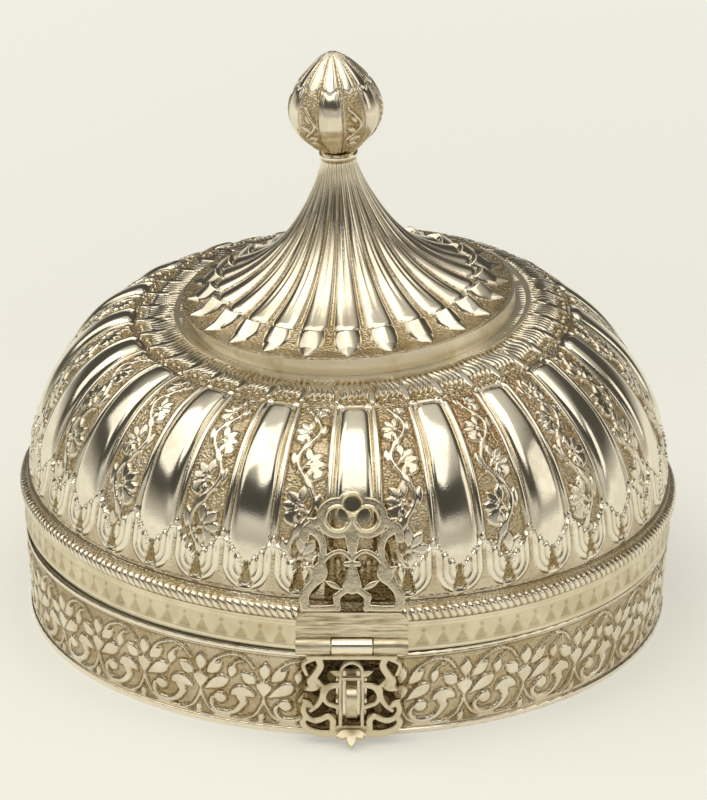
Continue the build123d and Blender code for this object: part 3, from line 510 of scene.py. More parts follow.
def pierced(name, drawing, low, high, sheet, plane, body, stands_for, material, bend):
    """A plate that is solid where a drawing is above 0, with a round upper edge.

    Its height is sheet - edge (1 - rounded(inside)), so the cut wall ends one edge below the top,
    and the middle of a stroke swells a little more. The whole plate bends back by bend times the
    square of the share of its height.
    """
    x, y = np.meshgrid(np.arange(low[0], high[0], net_step), np.arange(low[1], high[1], net_step))
    inside, lip = drawing(x, y)
    cells = (inside[:-1, :-1] + inside[1:, :-1] + inside[:-1, 1:] + inside[1:, 1:]) > 0
    # Two cells that touch at a corner alone would pinch the plate, so a third is added beside them.
    for _ in range(3):
        cells[1:, :-1] |= cells[:-1, :-1] & cells[1:, 1:] & ~cells[:-1, 1:]
        cells[:-1, :-1] |= cells[1:, :-1] & cells[:-1, 1:] & ~cells[1:, 1:]
    around_point = np.stack([np.pad(cells, ((a, 1 - a), (b, 1 - b))) for a in (0, 1) for b in (0, 1)])
    used = around_point.any(0)
    border = used & ~around_point.all(0)
    slope_y, slope_x = np.gradient(inside, net_step)
    move = np.where(border, np.clip(inside, -net_step, net_step), 0)
    move = move / np.maximum(np.hypot(slope_x, slope_y), 0.5) ** 2
    x, y = x - move * slope_x, y - move * slope_y
    rise = np.where(border, 0, rounded(inside, cut_edge))
    top = sheet - cut_edge * (1 - rise) + lip * rise + swell * rounded(inside, swell_rim) * rise
    count = used.sum()
    number = np.full(used.shape, -1)
    number[used] = np.arange(count)
    corners = np.stack([number[:-1, :-1], number[:-1, 1:], number[1:, 1:], number[1:, :-1]], -1)[cells]
    sides = np.stack([corners, np.roll(corners, -1, axis=1)], -1).reshape(-1, 2)
    forward, backward = sides @ [count, 1], sides[:, ::-1] @ [count, 1]
    rim = sides[~np.isin(forward, backward)]
    walls = np.stack([rim[:, 1], rim[:, 0], rim[:, 0] + count, rim[:, 1] + count], -1)
    faces = np.vstack([corners, corners[:, ::-1] + count, walls])
    origin, right_way, up_way, out_way = plane
    bent = bend * (y[used][:, None] / high[1]) ** 2
    flat = origin + x[used][:, None] * right_way + y[used][:, None] * up_way - bent * out_way
    points = np.vstack([flat + top[used][:, None] * out_way, flat])
    worn = np.concatenate([0.45 + 0.55 * rise[used], np.zeros(count)])
    return add_piece(name, points, faces, worn, body, stands_for, material)


def eye(x, y, centre, radius):
    """Distance outside a round hole, and the height of the lip round it."""
    outside = np.hypot(x - centre[0], y - centre[1]) - radius
    return outside, 0.3 * hump(outside - 0.75, 0.4)


print("net of points", net_step, "mm apart")

# %% The drawings of the crest and the hasp
# Left halves: each stem's points and widths, and each leaf's foot, tip, width, belly and bluntness.
head_stems = [([(-8.6, 30.2), (-12.2, 28.2), (-14.6, 26.6), (-15.3, 23.4)], 3.6, 3.0)]
head_leaves = [((-11.0, 28.0), (-14.8, 30.2), 2.6, 0.6, 0.8)]
head_discs = [((-4.8, 30.1), 6.7), ((0, 34.1), 5.0), ((0, 28.4), 3.4)]
crest_stems = [
    ([(0, 17.6), (0, 20.5), (0, 26.4)], 1.1, 6.2),
    ([(-13.2, 26.4), (-10.6, 24.4), (-9.4, 21.4), (-9.4, 18.4), (-10.0, 15.4)], 3.2, 2.0),
    ([(-10.8, 11.4), (-12.4, 9.0), (-14.4, 6.8), (-15.4, 4.4), (-15.0, 1.4)], 2.8, 3.4),
    ([(-15.0, 1.0), (-10.0, 0.9), (-4.6, 1.2)], 2.2, 2.4),
    ([(-4.6, 0.6), (-4.8, 2.4), (-5.0, 4.8)], 2.0, 2.6),
    ([(-9.7, 15.4), (-8.0, 17.6), (-5.2, 19.2), (-2.6, 19.0), (0, 16.6)], 1.7),
    ([(-2.0, 15.3), (0, 15.3)], 2.0),
    ([(0, 15.0), (0, 12.4), (0, 8.6)], 1.8, 6.4),
    ([(0, 7.8), (-2.8, 6.4), (-5.2, 4.6)], 2.4),
]
crest_leaves = [
    ((-9.6, 17.0), (-11.4, 8.2), 5.6, 1.1, 0.8),
    ((-10.6, 12.2), (-14.8, 14.8), 2.4, 0.7, 0.9),
    ((-8.9, 10.0), (-3.4, 7.0), 2.1, 1.0, 0.8),
]
hasp_stems = [
    ([(-3.55, 26.4), (-3.55, 6.0)], 1.4),
    ([(-3.6, 23.7), (0, 23.7)], 1.2),
    ([(-14.0, 31.5), (0, 31.5)], 1.7),
    ([(-5.0, 4.9), (0, 4.9)], 3.8),
    ([(-11.0, 31.4), (-10.1, 28.4), (-11.8, 25.2), (-13.1, 23.0), (-12.2, 21.0)], 2.3, 3.0),
    ([(-11.4, 23.6), (-8.9, 20.9), (-6.6, 21.6), (-3.6, 21.8)], 1.5),
    ([(-12.4, 31.0), (-15.0, 29.7), (-15.6, 28.2), (-14.6, 25.4)], 1.7, 1.3),
    ([(-3.8, 21.4), (-7.2, 20.5), (-8.8, 17.7), (-7.9, 15.0), (-3.8, 13.3)], 1.6),
    ([(-9.0, 20.6), (-9.5, 17.2), (-11.0, 14.4), (-13.2, 12.4)], 2.2, 1.6),
    ([(-15.0, 15.0), (-15.6, 12.4), (-14.4, 10.0), (-12.2, 8.7), (-9.9, 9.1), (-7.5, 10.2), (-6.0, 8.6),
      (-6.0, 5.6)], 1.9, 2.3),
    ([(-14.6, 10.4), (-15.8, 8.0), (-14.2, 5.7), (-11.4, 4.3), (-8.4, 3.8), (-5.0, 4.1)], 2.0, 2.8),
]
hasp_leaves = [
    ((-3.6, 25.2), (-7.2, 26.6), 2.2, 0.6, 0.9),
    ((-10.2, 21.2), (-15.4, 19.8), 2.6, 0.8, 0.8),
    ((-12.6, 13.6), (-16.0, 16.4), 2.4, 0.8, 0.8),
]


def crest_drawing(x, y):
    """Distance inside the crest's scrolls, and its lips. Both sides read the left half's drawing."""
    x = -np.abs(x)
    left_hole, left_lip = eye(x, y, (-4.7, 30.0), 3.2)
    top_hole, top_lip = eye(x, y, (0, 34.7), 2.7)
    head = drawn(x, y, head_stems, head_leaves, head_discs)
    head = np.minimum(head, np.minimum(left_hole, top_hole))
    return np.maximum(head, drawn(x, y, crest_stems, crest_leaves)), left_lip + top_lip


def hasp_drawing(x, y):
    """Distance inside the hasp's scrolls and outside its slot, and no lips.

    Its y is the height over the table.
    """
    x = -np.abs(x)
    arch = np.minimum(0.65 - np.abs(np.hypot(x, y - 26.1) - 3.45), y - 26.0)
    forms = np.maximum(arch, drawn(x, y, hasp_stems, hasp_leaves))
    slot = np.maximum(np.abs(x) - 2.85, np.abs(y - 15.2) - 8.0)
    return np.where(y < 23.1, np.minimum(forms, slot), forms), 0 * x


print("crest of", len(crest_stems), "stems, hasp of", len(hasp_stems))

# %% The crest and the hasp
tilt_back = np.radians(crest_tilt)
crest_plane = (
    np.array([0, -strap_back - strap_sheet + crest_sheet, strap_top]),
    np.array([1, 0, 0]),
    np.array([0, np.sin(tilt_back), np.cos(tilt_back)]),
    np.array([0, -np.cos(tilt_back), np.sin(tilt_back)]),
)
pierced("openwork_crest", crest_drawing, (-17.6, 0), (17.6, 40), crest_sheet, crest_plane,
        "lid", "hasp_crest", plate_silver, bend=1.0)
hasp_plane = (
    np.array([0, hasp_axis_y + hasp_sheet / 2, 0]),
    np.array([1, 0, 0]),
    np.array([0, 0, 1]),
    np.array([0, -1, 0]),
)
pierced("openwork_hasp", hasp_drawing, (-17.4, 2.2), (17.4, 32.4), hasp_sheet, hasp_plane,
        "hasp", "hasp_plate", worn_silver, bend=0.0)

# %% The hasp's centre knuckle
knuckle_half, knuckle_hole, knuckle_edge = 6.7, 1.15, 0.35
round_pin = np.linspace(0, 2 * np.pi, 64, endpoint=False)
in_from_end = np.array([0, 0.02, 0.15, 0.5, 1.0])  # rows of its rounded edge, as shares of the edge,
out_to_face = np.array([0.0, 0.12, 0.4, 0.8, 1.0])  # and how far out to the barrel each of them is
left_end = knuckle_edge * in_from_end - knuckle_half
ends = np.concatenate([left_end, -left_end[::-1]])
radii = hasp_barrel_radius - knuckle_edge * (1 - np.concatenate([out_to_face, out_to_face[::-1]]))


def barrel_points(radius, x):
    """Rings of points round the hinge's axis, one for each radius and place along it."""
    radius, x = np.asarray(radius)[:, None], np.asarray(x)[:, None]
    forward, up = radius * np.cos(round_pin), radius * np.sin(round_pin)
    return np.stack([x + 0 * round_pin, hasp_axis_y + forward, hasp_axis_z + up], -1)


knuckle_outer = barrel_points(radii, ends)[:, ::-1]
knuckle_inner = barrel_points([knuckle_hole, knuckle_hole], [knuckle_half, -knuckle_half])[:, ::-1]
knuckle_worn = np.full(knuckle_outer.shape[:2], 0.9)
add_ring("hasp_knuckle", knuckle_outer, knuckle_worn, knuckle_inner, "hasp", "hasp_plate", plain_silver)

# %% [markdown]
# ## Worn edges
#
# Hands have rounded the edges of the strap, the finger lift and the staple. Their shapes are
# plain, so their CAD meshes are copied, merged and bevelled rather than drawn again.

# %% The strap, the finger lift and the staple
def worn_copy(node, body, material, width):
    """A copy of a CAD node, merged, with its sharp edges rounded over a width in millimetres."""
    mesh = nodes[node].data.copy()
    mesh.name = "worn_" + node
    shape = bmesh.new()
    shape.from_mesh(mesh)
    bmesh.ops.remove_doubles(shape, verts=shape.verts, dist=1e-6)
    shape.to_mesh(mesh)
    shape.free()
    piece = add_object("worn_" + node, mesh)
    mesh.materials.clear()
    mesh.materials.append(material)
    mesh.shade_smooth()
    rounding = piece.modifiers.new("worn edges", "BEVEL")
    rounding.width = width * millimetre
    rounding.segments = 4
    rounding.limit_method = "ANGLE"
    rounding.angle_limit = np.radians(50)
    rounding.harden_normals = True
    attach(piece, body)
    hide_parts(node)
    print(piece.name, len(mesh.polygons), "faces before the bevel")


worn_copy("hasp_strap", "lid", brushed_silver, 0.3)
worn_copy("hasp_tip", "hasp", worn_silver, 0.35)
worn_copy("hasp_staple", "base", worn_silver, 0.62)

# %% [markdown]
# ## The flower frieze of the base
#
# Round the wall run 32 flowers joined by a hanging garland. The forms are flat on top with
# rounded edges, and the ground between them is matted. One list of leaves and a few stems draw
# one repeat, and the ring of points reads it 32 times with a slight wander, as a hand does.

# %% One repeat of the frieze
frieze_repeats, frieze_columns, frieze_rows = 32, 52, 54
frieze_width = 2 * np.pi * rim_radius / frieze_repeats
frieze_foot = 9.0  # height of the flower's foot above the wall's lower edge
frieze_leaves = [
    ((0.3, 7.4), (0.8, 14.2), 4.0),
    ((0.0, 0.2), (0.3, 7.2), 5.4, 1.7, 0.7),
    ((-2.6, 5.6), (-7.8, 9.6), 4.6, 0.8),
    ((2.6, 7.0), (8.4, 12.2), 4.0),
    ((1.2, 0.6), (10.4, 6.6), 4.6, 1.8, 0.6),
    ((-0.5, -4.6), (-1.3, -9.0), 2.2),
    ((15.9, -3.0), (13.2, 3.9), 3.2, 0.8),
    ((12.4, 12.4), (11.4, 6.6), 3.0),
]
garland = [(0, 0), (0.8, -2.4), (3.2, -6.2), (7, -8), (11.3, -8.4), (15.6, -8), (19.4, -6.2), (21.8, -2.4),
           (22.58, 0)]
inner_scroll = [(6.6, -1.2), (4.6, -1.8), (4.0, -4.2), (6.0, -6.4), (9.4, -6.8), (13.0, -5.4), (15.8, -2.0)]
upper_arch = [(4.6, 11.4), (7.5, 13.9), (12.5, 15.7), (16.7, 14.5), (19.2, 11.4)]
bud_stem = [(15.6, 13.6), (13.4, 12.9), (12.4, 11.6)]
frieze_stems = [(garland, 0.9), (inner_scroll, 1.0, 2.2), (upper_arch, 0.9), (bud_stem, 0.8)]


def frieze(x, y):
    """Distance inside the forms of one repeat, with the flower's foot at the origin."""
    half_disc = np.minimum(bead(x, y, (-7.2, 0.2), 4.2), y - 0.1)
    return np.maximum(half_disc, drawn(x, y, frieze_stems, frieze_leaves, [((7.4, -1.3), 2.2)]))


print("a repeat is", round(frieze_width, 1), "mm wide")

# %% The base wall
first_flower = -104.6  # degrees; the front is at -90
hinge_half = 7.6  # degrees to each side of the back that the hinge leaf covers
hasp_shade_half = 9.3  # degrees to each side of the front that the hasp hangs over


def wall_radius(level):
    """Outer radius of the wall, which flares straight from its foot to its rim."""
    return foot_radius + (rim_radius - foot_radius) * level / (wall_top - wall_bottom)


angle = turns_of(frieze_repeats * frieze_columns)
level = np.linspace(0, wall_top - wall_bottom, frieze_rows)[:, None]
wander = hand(angle, level, 0.5, 1)
run = np.mod(np.radians(angle - first_flower) * rim_radius + wander, frieze_width)
inside = repeated(frieze, run, level - frieze_foot + hand(angle, level, 0.45, 2), width=frieze_width)
plain_lines = np.maximum(0.5 - np.abs(level - 26.2), 0.6 - np.abs(level - 0.4))
relief, worn = chased(np.maximum(inside + 0.15, plain_lines), 0.8, 1.0, 0.25)
beside_hinge = ramp(np.abs(angle - 90), hinge_half, hinge_half + 1.5)
from_front = np.abs(np.mod(angle + 270, 360) - 180) - hand(angle, level, 1.5, 14)
# Painted shade with tarnish: behind the hasp the wall is pushed below 0, and the material turns it dark
# brown.
worn = worn - 1.1 * ramp(from_front, hasp_shade_half, hasp_shade_half - 2.4)
outside = around(table_frame, wall_radius(level) + (relief - 0.4) * beside_hinge, wall_bottom + level, angle)
inner_level = np.array([1.0, 0.5, 0.0])[:, None] * (wall_top - wall_bottom)
inner = around(table_frame, wall_radius(inner_level) - wall_sheet, wall_bottom + inner_level, angle)
add_ring("base_frieze", outside, worn, inner, "base", "base_wall", chased_silver)

# %% [markdown]
# ## The band and the moulding of the lid
#
# The band is engraved with small triangles, and fillet lines close it below and above. Above it
# lies a half round moulding, cut across into 288 short strokes. A bump texture could draw both,
# but cuts glint along their edges only when they have depth, so they are rings of points too, in
# the frame of the lid, which tips a little.

# %% The engraved band
band_repeats, band_columns, band_rows = 108, 16, 24
triangle_foot, triangle_tip, triangle_slant = 1.9, 6.2, 0.6
band_radius = rim_radius + band_proud
band_width = 2 * np.pi * band_radius / band_repeats
angle = turns_of(band_repeats * band_columns)
level = np.linspace(0, band_height, band_rows)[:, None]
run = np.mod(np.radians(angle + 90) * band_radius + hand(angle, level, 0.6, 3), band_width) - band_width / 2
to_side = ((triangle_tip - level) * triangle_slant - np.abs(run)) * 0.85
triangle = np.minimum(level - triangle_foot, to_side)
dot = bead(run, level, (0, triangle_tip + 0.9), 0.8)
cut = np.maximum(rounded(triangle, 0.35), rounded(dot, 0.4))
lines = np.maximum.reduce([0.45 - np.abs(level - height) for height in (0.9, 9.0, 10.3)])
ridge = rounded(lines, 0.45)
relief = 0.3 * ridge - 0.25 * cut + hand(angle, level, 0.1, 4)
worn = 0.72 - 0.34 * cut + 0.28 * ridge
outside = around(lid_frame, band_radius - 0.15 + relief, level, angle)
inner = around(lid_frame, band_radius - band_sheet, [[band_height], [0.0]], angle)
add_ring("engraved_band", outside, worn, inner, "lid", "lid_band", engraved_silver)

# %% The stroked moulding
strokes, stroke_columns = 288, 8
roll_level, roll_root, roll_out = 2.5, 115.1, 2.1
moulding_radius = rim_radius + moulding_proud
stroke_width = 2 * np.pi * moulding_radius / strokes
angle = turns_of(strokes * stroke_columns)
roll = np.radians(np.linspace(-88, 88, 13))[:, None]
level = np.vstack([roll_level * (1 + np.sin(roll)), [[moulding_height]]])
section = np.vstack([roll_root + roll_out * np.cos(roll), [[roll_root - 0.2]]])
slant = 0.45 * level + hand(angle, level, 0.9, 5)
run = np.mod(np.radians(angle + 90) * moulding_radius + slant, stroke_width)
past_end = np.clip(np.abs(level - roll_level) - 1.5, 0, None)
stroke = 0.75 - np.hypot(run - stroke_width / 2, past_end)
rise = rounded(stroke + 0.25, 0.7)
stroked = section - 0.5 * (1 - rise) + hand(angle, level, 0.2, 6)
outside = around(lid_frame, stroked, band_height + level, angle)
inner = around(lid_frame, moulding_inner, [[band_height + moulding_height], [band_height]], angle)
add_ring("stroked_moulding", outside, 0.25 + 0.7 * rise, inner, "lid", "rope_moulding", chased_silver)

# %% [markdown]
# ## The dome
#
# The dome was raised in one piece, and then 20 plain pillows and 20 chased panels were worked in
# it, with a round ridge along each edge. Leaves stand round the foot, and pearls and long leaves
# run round the shoulder under the crown. One grid holds it all: rows go up the profile and
# columns go round. It is worked out whole, so that its normals run on, and then cut in four
# rings of rows that each stay light enough.

# %% The grid of the dome
pair_columns = 72
panel_turn = 180 / panel_pairs
shoulder_turn = 72
zone_turns = [0, 19, 44, shoulder_turn, 90]
zone_rows = [45, 49, 55, 38]
angle = turns_of(pair_columns * panel_pairs, -90 - panel_turn / 2)
turn = np.concatenate([
    np.linspace(low, high, rows, endpoint=False)
    for low, high, rows in zip(zone_turns, zone_turns[1:], zone_rows)
] + [[90.0]])


def dome_frames(turn):
    """Height, lean left, lean forward and radius of the dome at a turn of its profile.

    The turn goes from 0 at the foot to 90 at the crown. The height goes by
    sin(turn)^(2 / fullness) and the radius by cos(turn). It leans forward by the fourth power of
    the share of the height, and to the left by the sixteenth.
    """
    share = np.sin(np.radians(turn)) ** (2 / dome_fullness)
    height = band_height + moulding_height + dome_rise * share
    radius = crown_radius + (dome_radius - crown_radius) * np.cos(np.radians(turn))
    return height, crown_lean_left * share**16, crown_lean_forward * share**4, radius


def faded(turn):
    """Share of the panels' swell at a turn: 0.15 + 0.85 sin(2 turn), so least at foot and crown."""
    return (0.15 + 0.85 * np.sin(np.radians(2 * turn)))[:, None]


def dome_points(turn, sunk, angle):
    """Points of the bare dome, inside its bulge, sunk below its surface by millimetres."""
    height, left, forward, radius = dome_frames(turn)
    height = height - sunk * np.sin(np.radians(turn))
    radius = radius - sunk * np.cos(np.radians(turn))
    inside_bulge = radius[:, None] - plain_bulge * faded(turn)
    return around(lean(lid_frame, height, left, forward), inside_bulge, 0, angle)


fade = faded(turn)
dome_height, _, _, dome_across = dome_frames(turn)
climb = steps_along(dome_height, dome_across)
shoulder = climb[np.searchsorted(turn, shoulder_turn), 0]
panel_width = np.radians(panel_turn) * dome_across[:, None]
from_first = angle - angle[0]
panel = np.mod(from_first, panel_turn) / (panel_turn / 2) - 1
plain = np.mod(from_first, 2 * panel_turn) < panel_turn
across = panel * panel_width / 2
print("dome grid", len(turn), "rows of", len(angle), "and", climb[-1, 0].round(1), "mm up")

# %% Pillows and ridges
pillow_inset, pillow_corner = 1.7, 3.0
seam_at, seam_half = 1.3, 0.28
edge = panel_width / 2 - np.abs(across) + hand(angle, climb, 0.18, 7)
to_side, to_top = edge - pillow_inset, shoulder - 0.4 - climb
past_corner = np.hypot(np.maximum(pillow_corner - to_side, 0), np.maximum(pillow_corner - to_top, 0))
bowed = 1 - panel**2
pillow = fade * (1.45 + 0.75 * bowed) * rounded(pillow_corner - past_corner, pillow_corner)
ridge = rounded(1.05 - edge, 0.8) * ramp(climb, shoulder + 0.5, shoulder - 1.5)
seam = hump(edge - seam_at, seam_half) * ramp(climb, shoulder, shoulder - 2)
dome_relief = np.where(plain, pillow, 0.3 * fade * bowed) + 0.75 * ridge - 0.3 * seam
dome_worn = np.clip(np.where(plain, 0.95, 0.3) + 0.7 * ridge - 0.8 * seam, 0, 1)
print("pillows up to", pillow.max().round(2), "mm")

# %% [markdown]
# ### The vine in the chased panels
#
# A stem winds from side to side up each panel, and a flower sits in each bend. The panel narrows
# toward the crown, so the drawing is done on a strip 12 mm wide and shrinks with the panel both
# across and along. Each panel starts a little further up its vine than the one before.

# %% The vine
vine_length, vine_sway, vine_half = 29.0, 3.4, 0.95
vine_start, vine_shift = 5.0, 4.7
flower_heart = np.array([0.2, -1.8])
vine_stalks = [([(-3.2, -5.0), (-1.8, -3.6), tuple(flower_heart)], 1.2)]
vine_leaves = [
    ((-3.2, 2.6), (0.8, 8.6), 3.2, 1.2, 0.75),
    ((-4.5, -3.6), (-5.2, 3.4), 2.8, 1.2, 0.75),
    ((2.2, -8.0), (5.4, -3.4), 3.8, 1.2, 0.75),
    ((1.0, -7.4), (0.9, -3.2), 2.4, 1.2, 0.75),
]
for degrees in (-40, 3, 46, 89):
    petal_way = np.array([np.cos(np.radians(degrees)), np.sin(np.radians(degrees))])
    vine_leaves.append((flower_heart + 0.5 * petal_way, flower_heart + 6.9 * petal_way, 3.5, 1.25, 0.75))


def vine(x, y):
    """Distance inside the forms of one length of vine: x = 3.4 sin(2 pi y / length) is its stem.

    Each of its two bends has a flower of four petals, its stalk and four leaves, and the second
    is the first turned to the other side.
    """
    wave = vine_sway * np.sin(2 * np.pi * y / vine_length)
    slope = vine_sway * 2 * np.pi / vine_length * np.cos(2 * np.pi * y / vine_length)
    forms = [vine_half - np.abs(x - wave) / np.sqrt(1 + slope**2)]
    for middle, side in ((vine_length / 4, -1), (3 * vine_length / 4, 1)):
        forms.append(drawn(side * x, y - middle, vine_stalks, vine_leaves, [(flower_heart, 1.2)]))
    return np.maximum.reduce(forms)


strip_scale = (panel_width / 2 - 2.0) / 6
steps_up = np.diff(climb[:, 0], prepend=0) / strip_scale[:, 0]
strip_y = np.cumsum(steps_up)[:, None] + vine_start + vine_shift * np.floor(from_first / (2 * panel_turn))
inside = repeated(vine, across / strip_scale, np.mod(strip_y, vine_length), height=vine_length) * strip_scale
in_strip = ramp(edge, 1.4, 1.8) * ramp(climb, shoulder - 1.0, shoulder - 1.8) * ~plain
relief, worn = chased(np.minimum(inside, edge - 1.6), 0.95, 0.85, 0.16)
dome_relief = dome_relief + in_strip * relief
dome_worn = np.where(in_strip > 0.5, worn, dome_worn)
print("vine relief", relief.min().round(2), "to", relief.max().round(2), "mm")

# %% [markdown]
# ### Leaves at the foot, pearls and long leaves at the shoulder
#
# A leaf stands over each ridge, and its fingers hang round a small vase at the foot of each
# panel, so one drawing serves all 40 panels. The distance inside a round-bottomed bay gives the
# fingers, 2.3 mm apart, with a cusp in the leaf's edge at each groove. At the shoulder four pearls
# arch over each panel, and long leaves lie close together above them.

# %% The leaves
notch = 9.6  # height of the leaf's edge in the middle of a panel
bay, finger, first_groove = 8.3, 2.3, 2.25
slant = 8.9 / (panel_width / 2)
lobes = bay * panel_width / panel_width[0] - np.hypot(across, np.minimum(climb - notch, 0))
scallop = 2.2 * np.abs(np.sin(np.pi * (lobes - first_groove) / finger)) - 1.2
leaf_edge = notch + slant * np.abs(across) + scallop + hand(angle, climb, 0.3, 8)
below = (leaf_edge - climb) / np.sqrt(1 + slant**2)
half_neck = 0.8 + 1.4 * ramp(climb, notch, notch - 6.1) ** 1.3
vase = np.minimum(half_neck - np.abs(across), climb - 2.6)
leaf_inside = np.minimum.reduce([lobes, below, -vase])
grooves = hump(lobes - first_groove, 0.36) + hump(lobes - first_groove - finger, 0.36)
drop = bead(across, climb, (0, 3.4), 0.5, 2.8)
ridge_leaf = leaf(panel_width / 2 - np.abs(across), climb, (0, notch + 5.0), (0, notch + 10.8), 2.6, 1.3, 0.7)
rolled = hump(below - 0.85, 0.6) * rounded(leaf_inside, 0.8) * (1 - 0.8 * np.clip(grooves, 0, 1))
foot_line = 0.35 * rounded(0.5 - np.abs(climb - 0.9), 0.5)
swelling = rounded(leaf_inside, 2.0) - 0.5 * grooves * rounded(leaf_inside, 0.8) + 0.6 * rolled
swelling = swelling + 0.5 * rounded(drop, 0.5) - 0.2 * rounded(vase, 0.5) + foot_line + 0.25
in_leaves = ramp(below, -0.3, 0)
dome_relief = dome_relief * (1 - in_leaves) + in_leaves * swelling
leaf_worn = np.clip(0.45 + 0.5 * rounded(leaf_inside, 0.7) - 0.55 * grooves - 0.35 * rounded(vase, 0.5), 0, 1)
leaf_worn = np.maximum(leaf_worn, rounded(drop, 0.4)) + 0.3 * rolled
dome_worn = np.where(in_leaves > 0.5, leaf_worn, dome_worn)
dome_relief = dome_relief + 0.5 * rounded(ridge_leaf, 0.9)
dome_worn = np.maximum(dome_worn, rounded(ridge_leaf, 0.5))
print("leaves up to", (notch + slant * panel_width / 2).max().round(1), "mm above the foot")

# %% The shoulder
fan_half = 5.5
above, fan = climb - shoulder, fan_half * panel
pearls = [((offset, 3.3 - 0.14 * offset**2), 0.72, 1.5) for offset in (-4.1, -1.4, 1.4, 4.1)]
sway, wave_up = hand(angle, climb, 1.2, 13), hand(angle, climb, 2.4, 9)
curl = 0.9 * np.sin(0.55 * above + 2.0 * sway)
long_leaves = [
    ((2.2 * place, 17.6), (1.7 * place, 4.4 + 0.5 * (place % 2)), 2.7, 1.25, 0.55) for place in range(-2, 3)
]
corner_leaf = leaf(fan_half - np.abs(fan), above + wave_up, (0.0, 13.0), (0.3, 1.4), 3.0, 1.2, 0.55)
leaves = np.maximum(drawn(fan + sway + curl, above + wave_up, leaves=long_leaves), corner_leaf)
leaves = leaves - 0.11 * (1 + np.sin(3.4 * fan + 0.9 * above + 3 * sway))
relief, worn = chased(np.maximum(drawn(fan, above, beads=pearls), leaves), 0.95, 0.85, 0.16)
in_shoulder = ramp(above, 0.6, 1.4)
dome_relief = dome_relief * (1 - in_shoulder) + in_shoulder * (relief + 0.2)
dome_worn = np.where(in_shoulder > 0.5, worn, dome_worn)
print("shoulder band", above[-1, 0].round(1), "mm wide")

# %% [markdown]
# ### Stain, soot with painted shade, and the four rings
#
# A brown stain lies on the ground of the chased panels at the front right, high up. Behind the
# crest, where no cloth reaches, the dome is darkened: soot, and painted shade under the crest. The
# flat top of the dome goes on as three more rows, to the hole for the rod.

# %% Cut the dome in rings
stain_angle, stain_spread = -62, 20
in_stain = ~plain * hump(angle - stain_angle, stain_spread) * ramp(climb, 30, 50) * (1 - in_shoulder)
dome_stain = in_stain * np.clip(1 - dome_worn, 0, 1)
from_crest = np.abs(np.radians(angle + 90)) * dome_radius
# Painted shade with soot: the dome behind the crest is pushed below 0 in the worn layer.
dome_worn = dome_worn - 0.75 * ramp(from_crest, 16, 12) * ramp(climb, 30, 24)

dome_base = dome_points(turn, 0, angle)
dome_relief = dome_relief + hand(angle, climb, 0.1, 10)
dome_skin = dome_base + outward(dome_base) * dome_relief[..., None]
plate_radius = np.array([55.0, 30.0, 2.2])[:, None]
crown_plate = around(crown_frame, plate_radius, 0, angle)
dome_skin = np.vstack([dome_skin, crown_plate])
dome_worn = np.vstack([dome_worn, np.full(crown_plate.shape[:2], 0.6)])
dome_stain = np.vstack([dome_stain, np.zeros(crown_plate.shape[:2])])
dome_normals = outward(dome_skin)

first_rows = np.searchsorted(turn, zone_turns)
zone_names = ["dome_leaves", "dome_lower", "dome_upper", "dome_shoulder"]
for name, low, high in zip(zone_names, first_rows, first_rows[1:]):
    last = high + 1
    inner = dome_points(np.linspace(turn[high], turn[low], 6), dome_sheet, angle)
    if name == zone_names[-1]:
        last = len(dome_skin)
        under_plate = around(crown_frame, plate_radius[::-1], -dome_sheet, angle)
        inner = np.vstack([under_plate, inner])
    rows = slice(low, last)
    add_ring(name, dome_skin[rows], dome_worn[rows], inner, "lid", "dome_shell", chased_silver,
             dome_stain[rows], dome_normals[rows])

# %% [markdown]
# ## The spire
#
# The spire is a funnel of 24 flutes. Each flute is one broad round rib with a fine fillet beside
# it, and higher up a shallow valley parts the rib in two. Each rib ends below in a round lip over
# a pointed lobe with a crease, and the flat rim between the lobes is matted. A section carried
# round could make the ribs, but not the lobes that grow out of them, so one grid of heights and
# angles draws both.

# %% The fluted skirt
flute_columns = 34
rim_rows, funnel_share = 14, 0.955  # the ribs stand on a funnel a little narrower than the skirt
rib_start, rib_half = 12.4, 0.445  # millimetres in from the rim, and a share of a flute
rod_hole = 1.8


def skirt_height(share):
    """Height over the crown at a share of the way up, from the skirt's edge to the neck."""
    foot = collar_height + skirt_edge_sheet
    return foot + (neck_height - foot) * share


def cone_radius(share):
    """Radius of a hollow cone that flares at its foot.

    Beyond the neck's radius it is (1 - flare) (1 - share)^1.4 + flare (1 - share)^6.
    """
    opened = (1 - skirt_flare) * (1 - share) ** 1.4 + skirt_flare * (1 - share) ** 6
    return neck_radius + (skirt_radius - neck_radius) * opened


angle = turns_of(flute_count * flute_columns, -90 - 180 / flute_count)
share = np.concatenate([np.linspace(0, 0.12, 34, endpoint=False), np.linspace(0.12, 1, 60)])
rim_across = np.linspace(skirt_edge_radius - 0.3, funnel_share * skirt_radius + 0.4, rim_rows)
height = np.concatenate([np.full(rim_rows, skirt_height(0)), skirt_height(share)])
radius = np.concatenate([rim_across, cone_radius(share) * funnel_share])
along = steps_along(height, radius)
flute = (np.mod(angle - angle[0], 360 / flute_count) / (360 / flute_count) - 0.5)[None, :]
flute_width = 2 * np.pi * radius[:, None] / flute_count
x = flute * flute_width
print("skirt grid", len(radius), "rows of", len(angle))

# %% Its ribs, as shares of a flute's width
rib = np.clip(np.abs(flute) / rib_half, 0, 1)
valley = ramp(along / along[-1], 0.2, 0.5) * hump(rib, 0.16)
fillet = 0.035 * hump(np.abs(flute) - 0.5, 0.03)
round_end = flute_width / 2 * (1 - np.sqrt(np.clip(1 - (2 * flute) ** 2, 0, 1)))
started = along - rib_start - round_end
ribs = flute_width * (0.19 * (1 - rib**2) ** 0.6 - 0.05 * valley + fillet) * rounded(started, 3.0)
print("ribs up to", ribs.max().round(2), "mm")

